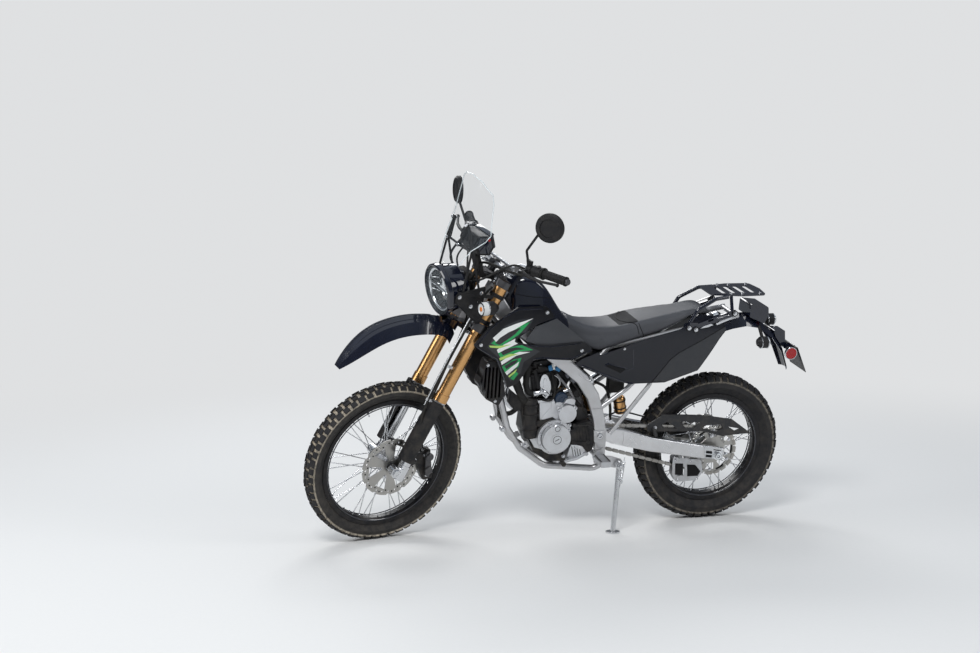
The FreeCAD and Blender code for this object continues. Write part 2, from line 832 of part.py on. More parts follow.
bar_rows = [
    (0, 0, 0),
    (0, 88, 0),
    (18, 168, 70),
    (-62, size.bar_reach, 80),
]
left_bar = tube(bar_points(bar_rows), size.bar_radius, 60)
brace_left, brace_right = bar_points([(9, 130, 37), (9, -130, 37)])
brace = rod(brace_left, brace_right, 6.5)
bar_end, bar_inner = bar_points([bar_rows[3], bar_rows[2]])
grip_run = (bar_inner - bar_end).normalize()
end_bore = rod(bar_end - grip_run, bar_end + grip_run * size.bar_bore_depth, size.bar_bore)
whole_bar = left_bar.fuse([mirrored(left_bar), brace]).cut(end_bore).cut(mirrored(end_bore))
make_part("handlebar", whole_bar, steered)


def along_bar(distance, drop=0.0, ahead=0.0):
    """A point measured inward along the left grip from the bar's end."""
    return bar_end + grip_run * distance + vec(ahead, 0, -drop)


snug = size.bar_radius + 0.15
grip = bore(along_bar(2), along_bar(118), size.bar_radius + 5.5, snug)
flange = bore(along_bar(112), along_bar(118), size.bar_radius + 13, snug)
end_flange = bore(along_bar(2), along_bar(7), size.bar_radius + 8, snug)
make_part("grips", both_sides(grip.fuse([flange, end_flange])), steered)

switch_box = bore(along_bar(122), along_bar(165), 22, snug)
lever_perch = bore(along_bar(172), along_bar(196), 18, snug)
lever_arm = tube(
    [
        along_bar(184, 0, 14),
        along_bar(176, 4, 40),
        along_bar(150, 8, 58),
        along_bar(60, 10, 62),
        along_bar(-8, 6, 50),
    ],
    5.5,
    30,
)
left_controls = switch_box.multiFuse([lever_perch.fuse(lever_arm)])
right_arm = mirrored(lever_arm)
right_perch = mirrored(lever_perch)
reservoir_spot = mirrored(rod(along_bar(184, -2, 34), along_bar(184, -36, 34), 18))
right_controls = mirrored(switch_box).multiFuse([right_perch.fuse([right_arm, reservoir_spot])])
controls = Part.makeCompound(left_controls.Solids + right_controls.Solids)
make_part("bar_controls", controls, steered)



def mirror(foot, rows, facing):
    """A round mirror on its stem: points of the stem and its centre from the head, and the way its back faces."""
    points = spots(from_head, rows)
    facing = vec(*facing).normalize()
    centre = points[-1]
    joint = centre + (points[-2] - centre).normalize() * (size.mirror_radius * 0.6)
    back = Part.makeCone(size.mirror_radius - 8, size.mirror_radius, 8, centre + facing * 9, facing * -1)
    body = rod(centre - facing * 9, centre + facing, size.mirror_radius)
    stem_tube = tube([foot - vec(0, 0, 18), *points[:-1], joint + facing * 4], 5, 14)
    sleeve = rod(foot - vec(0, 0, 15), foot + (points[0] - foot) * 0.5, 8)
    return stem_tube.fuse([sleeve, body, back])


MIRROR_STEM = [(-30, 222, 288), (-35, 280, 371), (-52, 330, 416)]
FAR_MIRROR_STEM = [(-31, -265, 235), (-22, -300, 289), (-14, -330, 356)]
perch = along_bar(184)
left_mirror = mirror(perch, MIRROR_STEM, (0.79, 0.6, 0.1))
right_mirror = mirror(vec(perch.x, -perch.y, perch.z), FAR_MIRROR_STEM, (0.96, -0.26, -0.02))
mirrors = Part.makeCompound([left_mirror, right_mirror]).cut(controls)
make_part("mirrors", mirrors.cut(whole_bar), steered)

guard_low, guard_high, guard_radius = 60, size.outer_low - 12, 37
guard = rod(on_leg(guard_low, 6), on_leg(guard_high, 6), guard_radius)
guard = guard.cut(rod(on_leg(guard_low - 1, 6), on_leg(guard_high + 1, 6), guard_radius - 3))
open_back = Part.makeBox(400, 200, 100, vec(0, -100, 0))
open_back.Placement = FreeCAD.Placement(
    on_leg(guard_low - 10, -4),
    FreeCAD.Rotation(axis_up, Y_AXIS, axis_ahead * -1, "XYZ"),
)
guard = guard.cut(open_back)
guard = guard.cut(box(head_x, front_axle.x + 200, 0, size.fork_spread - 18, 0, head_z))
guard_ring = rod(on_leg(guard_low + 4), on_leg(guard_low + 16), guard_radius - 1)
guard_ring = guard_ring.cut(rod(on_leg(guard_low), on_leg(guard_low + 20), size.slider_radius + 0.1))
make_part("fork_guards", both_sides(guard.fuse(guard_ring)), steered)


def lamp_point(ahead, up=0.0, y=0.0):
    """A point of the headlight, measured along and across its own tilted axis."""
    tilt = math.radians(size.lamp_tilt)
    centre_x, centre_z = from_head([(219, 66)])[0]
    along = vec(math.cos(tilt), 0, -math.sin(tilt))
    across = vec(math.sin(tilt), 0, math.cos(tilt))
    return vec(centre_x, y, centre_z) + along * ahead + across * up


def lamp_turned(profile):
    """A profile of distance ahead and radius turned about the headlight's axis."""
    corners = [lamp_point(ahead, radius) for ahead, radius in profile]
    face = Part.Face(Part.makePolygon(corners + corners[:1]))
    return face.revolve(lamp_point(0), lamp_point(1) - lamp_point(0), 360)


rim = size.lamp_radius
shell = [
    (-112, 0),
    (-112, 44),
    (-104, 66),
    (-78, rim - 16),
    (-12, rim - 4),
    (-12, rim),
    (4, rim),
    (8, rim - 5),
    (8, rim - 9),
    (-10, rim - 9),
    (-74, rim - 21),
    (-98, 62),
    (-106, 42),
    (-106, 0),
]
headlight = lamp_turned(shell)
make_part("headlight", headlight, steered)
lens = [(1, 0), (1, rim - 9.3), (7, rim - 9.3), (12, rim * 0.6), (14, rim * 0.3), (14.5, 0)]
make_part("headlight_lens", lamp_turned(lens), steered)

ears = []
for height in (40, -75):
    low = on_fork(height, size.fork_offset, size.fork_spread)
    band = bore(low, low + axis_up * 16, size.outer_radius + 4, size.outer_radius + 0.15)
    ears.append(band)
arm = side_prism(
    from_head([(67, 107), (197, 87), (201, 51), (99, -51), (73, -31), (73, 49)]),
    rim + 1,
    rim + 5,
    8,
)
arm_low = box_bar(
    [(ears[0].CenterOfMass + vec(27, 12, 0), 14, 8), (lamp_point(-30, 18, rim + 3), 14, 6)],
    2,
)
arm_high = box_bar(
    [(ears[1].CenterOfMass + vec(27, 12, 0), 14, 8), (lamp_point(-60, -60, rim + 3), 14, 6)],
    2,
)
lamp_pin = rod(lamp_point(-30, 0, rim - 14), lamp_point(-30, 0, rim + 8), 7)
screen_foot, screen_head = spots(from_head, [(199, 0, 188), (115, 0, 533)])
screen_run = (screen_head - screen_foot).normalize()
screen_out = vec(screen_run.z, 0, -screen_run.x)
screen_axis = screen_foot - screen_out * size.screen_curve


def behind_screen(rise, y, gap):
    """A point behind the windshield, at a gap from its inner face."""
    inner = size.screen_curve - size.screen_wall - gap
    return screen_axis + screen_run * rise + screen_out * math.sqrt(inner**2 - y**2) + vec(0, y, 0)


HALF_SCREEN = [
    # Y and Z from the head
    (0, 150), (50, 158), (76, 190), (105, 258), (140, 304), (149, 332),
    (138, 402), (130, 455), (118, 488), (62, 526), (0, 536),
]
sheet_low, sheet_high = screen_axis - screen_run * 140, screen_axis + screen_run * 460
sheet_inside = rod(sheet_low, sheet_high, size.screen_curve - size.screen_wall)
screen_sheet = rod(sheet_low, sheet_high, size.screen_curve).cut(sheet_inside)
screen_outline = HALF_SCREEN + [(-y, z) for y, z in reversed(HALF_SCREEN[1:-1])]
screen_outline = [(y, head_z + z) for y, z in screen_outline]
screen = screen_sheet.common(front_prism(screen_outline, head_x + 40, head_x + 400, 12))
lamp_room = lamp_turned([(-60, 0), (-60, rim + 2), (12, rim + 2), (12, 0)])
screen = screen.cut(lamp_room)
make_part("windshield", screen, steered)

strut_foot = spots(from_head, [(142, 100, 256)])[0]
screen_legs = []
for foot_x in (169, 98):
    leg_low = spots(from_head, [(foot_x, rim + 3, 94)])[0]
    screen_legs.append(box_bar([(leg_low, 9, 4), (strut_foot, 9, 4)], 1))
SCREEN_BOLTS = [
    # up the screen, Y
    (167, 56),
    (84, 43),
]
bolts = [behind_screen(rise, y, 5.5) for rise, y in SCREEN_BOLTS]
for near, far in ((strut_foot, bolts[0]), (bolts[0], bolts[1]), (bolts[1], strut_foot)):
    screen_legs.append(box_bar([(near, 14, 4), (far, 14, 4)], 1))
for rise, y in SCREEN_BOLTS:
    pad = rod(behind_screen(rise, y, 0.3), behind_screen(rise, y, 7), 6)
    screen_legs.append(pad)
cross = rod(bolts[1], vec(bolts[1].x, -bolts[1].y, bolts[1].z), 4.5)
bracket = ears[0].fuse([ears[1], arm, arm_low, arm_high, lamp_pin, *screen_legs])
bracket = bracket.cut(rod(on_leg(size.outer_low), on_leg(outer_top), size.outer_radius + 0.15))
screen_frame = bracket.fuse([mirrored(bracket), cross])
lamp_body = lamp_turned(
    [(-112.3, 0), (-112.3, 44.3), (-104.3, 66.3), (-78.3, rim - 15.6), (-12, rim - 3.7), (-12, rim + 0.3), (15, rim + 0.3), (15, 0)]
)
make_part("windshield_bracket", screen_frame.cut(lamp_body).cut(clamps).cut(screen), steered)

gauge = side_prism(
    from_head([(97, 301), (35, 295), (21, 249), (35, 215), (91, 221), (109, 259)]),
    -62,
    62,
    12,
)
gauge_arm = side_prism(
    from_head([(87, 229), (65, 229), (30, 125), (-24, 108), (-18, 92), (45, 108)]), -22, 22, 4
)
make_part("instrument", gauge.fuse(gauge_arm).cut(clamps), steered)


def arched_section(x, z, angle, half, drop, wall):
    """An arched strip across the motorcycle: crown point, half width, drop and thickness."""
    place = FreeCAD.Placement(vec(x, 0, z), FreeCAD.Rotation(Y_AXIS, angle))
    outer = [vec(0, -half, -drop), vec(0, -half * 0.55, -drop * 0.22), vec(0, 0, 0)]
    outer += [vec(0, half * 0.55, -drop * 0.22), vec(0, half, -drop)]
    inner = [point + vec(0, 0, -wall) for point in outer[1:-1]]
    inner = [vec(0, -half + wall, -drop)] + inner + [vec(0, half - wall, -drop)]
    loop = [place.multVec(point) for point in outer + inner[::-1]]
    return Part.makePolygon(loop + loop[:1])


FENDER = [
    # X and Z of the crown line from the head, slope, half width, drop, thickness
    (644, -208, 44, 24, 9, 4),
    (621, -173, 44, 42, 22, 4),
    (576, -120, 38, 60, 38, 4),
    (494, -62, 24, 70, 50, 4),
    (388, -35, 5, 74, 52, 4),
    (269, -35, -2, 74, 56, 4),
    (187, -56, -22, 66, 60, 4),
    (137, -111, -50, 60, 56, 4),
]
fender_sections = []
for x, z, slope, half, drop, wall in FENDER:
    (place_x, place_z), = from_head([(x, z)])
    fender_sections.append(arched_section(place_x, place_z, slope, half, drop, wall))
fender = Part.makeLoft(fender_sections, True, False)
shelf_low = -half_head - 4 - size.clamp_wall - 0.3
shelf_ends = [on_fork(shelf_low, 4, -42), on_fork(shelf_low, 132, -42)]
shelf_corners = shelf_ends + [shelf_ends[1] - axis_up * 5, shelf_ends[0] - axis_up * 5]
shelf = Part.Face(Part.makePolygon(shelf_corners + shelf_corners[:1])).extrude(vec(0, 84, 0))
for y in (20, -26):
    rib = side_prism(from_head([(119, -70), (169, -45), (191, -59), (141, -109)]), y, y + 6)
    shelf = shelf.fuse(rib)
make_part("front_fender", fender.fuse(shelf), steered)

caliper = side_prism(from_front_axle([(-100, 49), (-166, 70), (-188, -72), (-142, -73), (-120, -20)]), 50, 78, 10)
disc_room = rod(
    vec(front_axle.x, size.disc_reach - size.disc_wall / 2 - 1.5, front_axle.z),
    vec(front_axle.x, size.disc_reach + size.disc_wall / 2 + 1.5, front_axle.z),
    size.front_disc_radius + 3,
)
caliper = caliper.cut(disc_room)
caliper_arm = side_prism(from_front_axle([(-34, 6), (-110, 40), (-108, 10), (-44, -22)]), 66, 78, 4)
make_part("front_caliper", caliper.fuse(caliper_arm).cut(lower_fork), steered)

signals = []
signal_face = spots(from_head, [(119, 176, 41)])[0]
bulb = rod(signal_face, signal_face - vec(52, 0, 0), 27)
tip = Part.makeCone(27, 14, 18, signal_face - vec(52, 0, 0), vec(-1, 0, 0))
stalk = rod(vec(signal_face.x - 26, rim + 5, signal_face.z), signal_face - vec(26, 0, 0), 8)
make_part("front_signals", both_sides(bulb.fuse([tip, stalk])), steered)

hose_points = [vec(point.x, -point.y, point.z) for point in (along_bar(184, 20, 8), along_bar(190, 60, 30))]
hose_points += spots(from_head, [(62, -60, 109), (62, 10, 49)])
hose_points += [on_leg(640, 34, 50), on_leg(520, 30, 62), on_leg(300, 10, 62), on_leg(190, -24, 62)]
hose_points += spots(from_front_axle, [(-128, 64, 60)])
make_part("brake_hose", tube(hose_points, 4, 60).cut(fender), steered)

# Frame


def run(place, rows):
    """Stations of a bar: point, height and width."""
    points = spots(place, [(x, y, z) for x, y, z, _, _ in rows])
    return [(point, high, wide) for point, (_, _, _, high, wide) in zip(points, rows)]


spar_rows = run(from_head, [(-25, 34, 11, 74, 26), (-79, 58, -61, 62, 26)])
spar_rows += run(
    from_pivot,
    [
        (279, 106, 391, 54, 30),
        (159, 113, 305, 54, 30),
        (93, 113, 248, 54, 30),
        (41, 113, 170, 52, 30),
        (7, 111, 73, 50, 26),
        (-6, 109, -7, 52, 24),
        (-14, 100, -129, 44, 22),
    ],
)
spar = box_bar(spar_rows, 7)
head_tube = bore(
    on_fork(-size.head_length / 2, 0),
    on_fork(size.head_length / 2, 0),
    size.head_radius,
    14 + size.running_gap,
)
head_hole = rod(on_fork(-120, 0), on_fork(120, 0), 14 + size.running_gap)
frame = spar.fuse(mirrored(spar)).cut(head_hole).fuse(head_tube)
for rows in (
    [(55, 100, 239), (55, -100, 239)],
    [(-29, 92, -125), (-29, -92, -125)],
):
    frame = frame.fuse(rod(*spots(from_pivot, rows), 14))
STAND_PIN = 6
stand_pivot = spots(from_pivot, [(-94, 128, -134)])[0]
stand_plate = side_prism(
    from_pivot([(-20, -96), (-60, -100), (-112, -118), (-112, -150), (-80, -152), (-22, -140)]), 108, 116, 10
)
stand_pin = rod(stand_pivot - vec(0, 14, 0), stand_pivot + vec(0, 19, 0), STAND_PIN)
stand_head = rod(stand_pivot + vec(0, 15.5, 0), stand_pivot + vec(0, 20, 0), 10)
frame = frame.fuse([stand_plate, mirrored(stand_plate), stand_pin, stand_head])
make_part("main_frame", frame, chassis)

down_rows = spots(from_head, [(-2, 0, -40), (-46, 0, -104)]) + spots(from_pivot, [(417, 0, 243)])
down_tube = tube(down_rows, 19, 60)
cradle_rows = spots(
    from_pivot,
    [
        (421, 12, 283),
        (421, 50, 173),
        (385, 62, 31),
        (327, 66, -59),
        (219, 68, -141),
        (-1, 78, -163),
        (-29, 88, -141),
    ],
)
cradle_tube = tube(cradle_rows, 13, 70)
cradle = down_tube.fuse([cradle_tube, mirrored(cradle_tube)])
cradle = cradle.fuse(rod(*spots(from_pivot, [(179, 66, -143), (179, -66, -143)]), 11)).cut(frame)
cradle = cradle.cut(rod(on_fork(-100, 0), on_fork(100, 0), size.head_radius))
cradle = cradle.Solids[0]
make_part("cradle", cradle, chassis)

rail = tube(
    spots(
        from_pivot,
        [(55, 98, 288), (-21, 92, 375), (-161, 90, 399), (-371, 84, 437), (-601, 66, 483)],
    ),
    12,
    60,
)
stay = tube(
    spots(from_pivot, [(7, 112, 113), (-111, 104, 193), (-241, 92, 313), (-391, 82, 429)]), 10, 60
)
peg_strut = tube(spots(from_pivot, [(-46, 116, 0), (-205, 112, 204), (-262, 90, 330)]), 9, 40)
rear_cross = rod(*spots(from_pivot, [(-591, 64, 481), (-591, -64, 481)]), 10)
mid_cross = rod(*spots(from_pivot, [(-161, 90, 399), (-161, -90, 399)]), 10)
subframe = rail.fuse([mirrored(rail), stay, mirrored(stay), rear_cross, mid_cross])
subframe = subframe.fuse([peg_strut, mirrored(peg_strut)])
make_part("subframe", subframe.cut(frame), chassis)

# Engine

case_outline = from_pivot(
    [
        (27, 23), (31, -67), (55, -111), (119, -125), (209, -119),
        (271, -75), (301, -7), (295, 73), (249, 113), (149, 128), (59, 113),
    ]
)
case = side_prism(case_outline, -78, 78, 16)
pocket_low, pocket_high = spots(from_pivot, [(-11, 0, -72), (127, 0, 58)])
case = case.cut(box(pocket_low.x, pocket_high.x, 42, 90, pocket_low.z, pocket_high.z))
make_part("crankcase", case, chassis)

gen_x, gen_z = from_pivot([(192, -3)])[0]
covers = [
    rod(vec(gen_x, 78, gen_z), vec(gen_x, 112, gen_z), 74),
    rod(vec(gen_x, 112, gen_z), vec(gen_x, 138, gen_z), 60),
    rod(vec(gen_x, 138, gen_z), vec(gen_x, 142, gen_z), 24),
]
pump_x, pump_z = from_pivot([(145, 98)])[0]
covers.append(rod(vec(pump_x, 78, pump_z), vec(pump_x, 118, pump_z), 38))
covers.append(side_prism(from_pivot([(99, 143), (189, 143), (259, 73), (159, 33)]), 78, 96, 14))
left_cover = covers[0].fuse(covers[1:])
clutch_x, clutch_z = from_pivot([(109, 5)])[0]
right_cover = rod(vec(clutch_x, -78, clutch_z), vec(clutch_x, -128, clutch_z), 78)
right_cover = right_cover.fuse(rod(vec(gen_x, -78, gen_z), vec(gen_x, -112, gen_z), 62))
make_part("engine_covers", Part.makeCompound([left_cover, right_cover]), chassis)


def along_cylinder(up, ahead, y):
    """A point on the engine's cylinder, whose axis leans forward."""
    low_x, low_z = from_pivot([(216, 109)])[0]
    lean_ahead = math.radians(9)
    x = low_x + up * math.sin(lean_ahead) + ahead * math.cos(lean_ahead)
    z = low_z + up * math.cos(lean_ahead) - ahead * math.sin(lean_ahead)
    return vec(x, y, z)


def cylinder_block(low, high, long, wide, bend):
    corners = []
    for side_x, side_y in ((-1, -1), (1, -1), (1, 1), (-1, 1)):
        corners.append(along_cylinder(low, side_x * long / 2, side_y * wide / 2))
    rise = along_cylinder(high, 0, 0) - along_cylinder(low, 0, 0)
    return Part.Face(rounded_path(corners, bend, True)).extrude(rise)


CYLINDER = [
    # low and high along the axis, length, width, corner
    (0, 74, 122, 128, 18),
    (74, 80, 130, 136, 18),
    (80, 150, 118, 132, 14),
    (150, 156, 126, 140, 14),
    (156, 206, 96, 118, 22),
]
blocks = [cylinder_block(*row) for row in CYLINDER]
cylinder = blocks[0].fuse(blocks[1:])
cylinder = cylinder.cut(case)
make_part("cylinder", cylinder, chassis)

radiator = box_bar(run(from_pivot, [(428, 97, 440, 34, 78), (403, 97, 250, 34, 78)]), 6)
for level, ahead in ((396, 424), (300, 411)):
    radiator = radiator.fuse(rod(*spots(from_pivot, [(ahead, 60, level), (ahead, 8, level)]), 6))
for level in range(270, 430, 16):
    front = 422 + (level - 257) * 0.13
    fin = side_prism(
        from_pivot([(front, level), (front + 16, level - 7), (front + 16, level - 3), (front, level + 4)]),
        64,
        130,
    )
    radiator = radiator.fuse(fin)
guard_outline = from_pivot([(510, 345), (540, 250), (506, 186), (452, 155), (424, 200), (452, 340)])
guard = side_prism(guard_outline, 66, 134, 8)
for row in range(6):
    ahead = 446 + row * 15
    slot = side_prism(
        from_pivot([(ahead, 320), (ahead + 9, 320), (ahead + 9 + row, 190 - row), (ahead + row, 190 - row)]), 70, 140, 2
    )
    guard = guard.cut(slot)
radiator = radiator.fuse(guard).cut(cradle)
hose = tube(
    spots(from_pivot, [(430, 62, 428), (379, 44, 428), (339, 40, 373), (302, 38, 285)]), 15, 40
)
low_hose = tube(
    spots(from_pivot, [(396, 80, 262), (372, 84, 240), (339, 84, 173), (291, 66, 113)]), 15, 40
)
radiators = both_sides(radiator)
make_part("radiators", radiators, chassis)
hoses = Part.makeCompound([hose, low_hose]).cut(radiators).cut(cylinder).cut(frame)
make_part("coolant_hoses", hoses, chassis)

intake = tube(spots(from_pivot, [(159, 0, 243), (99, 0, 258), (19, 0, 295)]), 27, 40)
airbox = side_prism(
    from_pivot([(19, 253), (19, 335), (-21, 350), (-141, 384), (-241, 411), (-291, 403), (-251, 253), (-141, 233)]),
    -70,
    70,
    14,
)
carb = side_prism(from_pivot([(149, 213), (149, 288), (89, 298), (81, 223)]), -40, 40, 8)
make_part("airbox", airbox.fuse([intake, carb]).cut(subframe).cut(cylinder).cut(frame), chassis)

# Bodywork

TANK = [
    # X, low Z, high Z, half width low, half width high
    (944, 991, 1072, 58, 36),
    (921, 941, 1108, 94, 56),
    (871, 911, 1120, 112, 70),
    (801, 901, 1076, 118, 74),
    (748, 880, 1002, 104, 70),
    (690, 872, 932, 86, 62),
    (620, 865, 892, 70, 56),
]
SEAT = [
    (786, 985, 1006, 60, 42),
    (745, 930, 984, 74, 54),
    (700, 886, 948, 90, 68),
    (640, 836, 914, 108, 86),
    (575, 808, 899, 120, 98),
    (480, 822, 901, 122, 104),
    (392, 848, 919, 120, 104),
    (238, 898, 943, 110, 96),
    (110, 940, 961, 92, 78),
    (62, 934, 948, 72, 58),
]


def measured_body(rows, bend):
    """A rounded body whose rows are tied to the height of the head and the place of the pivot."""
    shift_x = size.swingarm_length - 541
    shift_z = head_z - 1011
    return lofted_body([(x + shift_x, low + shift_z, high + shift_z, a, b) for x, low, high, a, b in rows], bend)


steering_room = rod(on_fork(half_head - 4, 0), on_fork(half_head + 48, 0), 88)
steering_room = steering_room.fuse(rod(on_fork(half_head + 44, 0), on_fork(size.bar_up + 70, 0), 92))
tank = measured_body(TANK, 26).cut(frame).cut(subframe).cut(steering_room)
make_part("fuel_tank", tank, chassis)
seat = measured_body(SEAT, 18).cut(tank).cut(subframe).cut(frame)
make_part("seat", seat, chassis)

shroud_outline = from_head(
    [
        (96, -135), (25, -62), (-95, 5), (-216, 4), (-258, -40), (-177, -66), (-75, -129),
        (-144, -146), (-236, -155), (-377, -148), (-431, -185), (-334, -226), (-206, -211), (-167, -215),
        (-111, -318), (-71, -336), (-11, -208),
    ]
)
shroud_axis = vec(head_x, 170 - 520, head_z - 150)
shroud = curved_panel(shroud_outline, shroud_axis, (1, 0.07, 0), 520, 4, 10)
for x, y_out, z in ((-62, 164, -151), (-80, 147, -281)):
    near = vec(head_x + x, 136.2, head_z + z)
    shroud = shroud.fuse(rod(near, vec(near.x, y_out, near.z), 7))
make_part("tank_shrouds", both_sides(shroud).cut(radiators), chassis)

wing_outline = from_pivot([(319, 488), (226, 515), (99, 415), (159, 393), (289, 403), (359, 433)])
wing_axis = vec(size.swingarm_length, 135.8 - 520, size.pivot_height + 430)
wing = curved_panel(wing_outline, wing_axis, (1, 0.04, 0), 520, 4, 8)
make_part("tank_wings", both_sides(wing), chassis)

cover_outline = from_pivot(
    [
        (44, 371), (116, 348), (136, 334), (140, 324), (-36, 243), (-107, 223), (-270, 218), (-417, 263), (-504, 393),
        (-540, 437), (-481, 491), (-407, 501), (-345, 457), (-328, 446), (-156, 411), (34, 358),
    ]
)
cover_axis = vec(size.swingarm_length, 150 - 600, size.pivot_height + 330)
side_cover = curved_panel(cover_outline, cover_axis, (1, 0.07, 0), 600, 4, 8)

TAIL = [
    # X, Z of the crown, slope, half width, drop, from the pivot
    (-420, 436, 12, 60, 58),
    (-500, 458, 12, 62, 58),
    (-580, 474, 8, 60, 54),
    (-660, 474, -10, 56, 46),
    (-730, 446, -34, 52, 34),
    (-800, 388, -46, 50, 26),
    (-850, 318, -60, 48, 22),
    (-884, 226, -72, 40, 16),
]
TAIL_WALL = 4
tail_sections = []
for x, z, slope, half, drop in TAIL:
    (place_x, place_z), = from_pivot([(x, z)])
    tail_sections.append(arched_section(place_x, place_z, slope, half, drop, TAIL_WALL))
tail = Part.makeLoft(tail_sections, True, True).cut(subframe)
plate_lamp = side_prism(
    from_pivot([(-792, 400), (-846, 396), (-852, 348), (-842, 322), (-806, 368)]), -34, 34, 4
)
plate_arm = side_prism(
    from_pivot([(-838, 350), (-852, 350), (-898, 322), (-906, 326), (-912, 318), (-900, 300), (-858, 312)]),
    -20, 20, 2,
)
tail = tail.fuse([plate_lamp, plate_arm])
make_part("rear_fender", tail, chassis)

plate_top, plate_low = spots(from_pivot, [(-893, 0, 330), (-945, 0, 218)])
plate = box_bar([(plate_top, 2, 150), (plate_low, 2, 150)], 0.5)
reflector = spots(from_pivot, [(-866, 68, 306)])[0]
plate_back = box_bar([(plate_top + vec(2.6, 0, 0), 3, 130), (plate_low + vec(14, 0, 30), 3, 130)], 0.5)
plate_ear = rod(reflector - vec(0, 5, 0), reflector, 27)
plate_strut = box_bar([(reflector - vec(0, 3, 0), 4, 12), (reflector + vec(-36, -5, 6), 4, 12)], 0.5, vec(1, 0, 0.4))
make_part("number_plate", plate.fuse([plate_back, plate_ear, plate_strut]).cut(tail), chassis)
make_part("side_reflector", rod(reflector + vec(0, 0.3, 0), reflector + vec(0, 6, 0), 25), chassis)

tail_light = side_prism(
    from_pivot([(-662, 468), (-734, 438), (-750, 474), (-746, 508), (-734, 516), (-664, 524)]), -56, 56, 8
)
lamp_above = max(tail_light.cut(tail).Solids, key=lambda solid: solid.Volume)
make_part("tail_light", lamp_above, chassis)

# the luggage rack: a slotted deck on two side plates that bolt to the subframe
deck = top_prism([(70, 62), (70, -62), (-60, -92), (-170, -88), (-182, 0), (-170, 88), (-60, 92)], 0, 6, 20)
for x in (-140, -96, -52, -8):
    slot = top_prism([(x, -56), (x + 24, -56), (x + 24, 56), (x, 56)], -1, 9, 8)
    deck = deck.cut(slot)
deck_x, deck_z = from_pivot([(-541, 571)])[0]
deck.translate(vec(deck_x, 0, deck_z))
rail_plate = side_prism(
    from_pivot([(-352, 444), (-372, 432), (-408, 448), (-430, 452), (-556, 492), (-572, 512), (-566, 520), (-548, 516), (-404, 466), (-366, 470)]),
    108,
    114,
    5,
)
for low, high in ((-470, -446), (-540, -480)):
    slope = 0.3
    window = [(low, 480 + (-446 - low) * slope), (high, 480 + (-446 - high) * slope)]
    window += [(high, 470 + (-446 - high) * slope), (low, 470 + (-446 - low) * slope)]
    rail_plate = rail_plate.cut(side_prism(from_pivot(window), 100, 120, 3))
arm = tube(
    spots(from_pivot, [(-362, 102, 452), (-400, 101, 520), (-481, 92, 563), (-541, 84, 568)]), 8, 30
)
foot = rod(*spots(from_pivot, [(-362, 88, 450), (-362, 118, 450)]), 13)
rear_post = rod(*spots(from_pivot, [(-556, 104, 506), (-556, 80, 570)]), 7)
rack = deck.fuse([arm, mirrored(arm), foot, mirrored(foot), rail_plate, mirrored(rail_plate)])
rack = rack.fuse([rear_post, mirrored(rear_post)])
rack = rack.cut(subframe)
make_part("rear_rack", rack, chassis)


def rear_signal(spot, root):
    """A round signal whose lens faces back, on a stalk from its root on the tail."""
    spot, root = spots(from_pivot, [spot, root])
    cup = rod(spot + vec(14, 0, 0), spot - vec(16, 0, 0), 25)
    dome = Part.makeCone(25, 15, 14, spot + vec(14, 0, 0), X_AXIS)
    lens = Part.makeCone(23, 16, 8, spot - vec(16, 0, 0), X_AXIS * -1)
    return cup.fuse([dome, lens, rod(root, spot, 7)])


left_signal = rear_signal((-711, 110, 373), (-714, 49, 424))
right_signal = rear_signal((-842, -110, 405), (-800, -45, 353))
make_part("rear_signals", Part.makeCompound([left_signal, right_signal]).cut(tail), chassis)

# Exhaust

header = tube(
    spots(
        from_pivot,
        [
            (295, -24, 243), (354, -36, 233), (364, -84, 143), (309, -130, 53),
            (179, -154, 33), (19, -154, 103), (-111, -152, 183), (-211, -152, 253),
        ],
    ),
    19,
    70,
)
muffler_start, muffler_end = spots(from_pivot, [(-211, -158, 253), (-631, -172, 379)])
muffler = rod(muffler_start, muffler_end, 52)
tail_pipe = bore(muffler_end, muffler_end + (muffler_end - muffler_start).normalize() * 40, 18, 15)
muffler = muffler.fuse(tail_pipe)
muffler = muffler.cut(subframe)
make_part("muffler", muffler, chassis)
header = header.cut(muffler).cut(cylinder).cut(frame)
make_part("exhaust_pipe", header, chassis)

silencer_room = rod(muffler_start * 2 - muffler_end, muffler_end, 56)
side_cover = side_cover.cut(both_sides(shroud)).cut(both_sides(wing))
right_cover = mirrored(side_cover).cut(silencer_room).cut(rack).cut(frame)
right_cover = max(right_cover.Solids, key=lambda solid: solid.Volume)
left_side_cover = side_cover.cut(rack).cut(frame)
covers = Part.makeCompound(left_side_cover.Solids + [right_cover])
make_part("side_covers", covers, chassis)

# Rear suspension and drive

shock_top, shock_low = spots(from_pivot, [(49, 0, 229), (-47, 0, -47)])
shock_run = (shock_low - shock_top).normalize()
shock = rod(shock_top, shock_low, 14)
for turn in range(7):
    centre = shock_top + shock_run * (30 + 22 * turn)
    shock = shock.fuse(rod(centre, centre + shock_run * 10, 34))

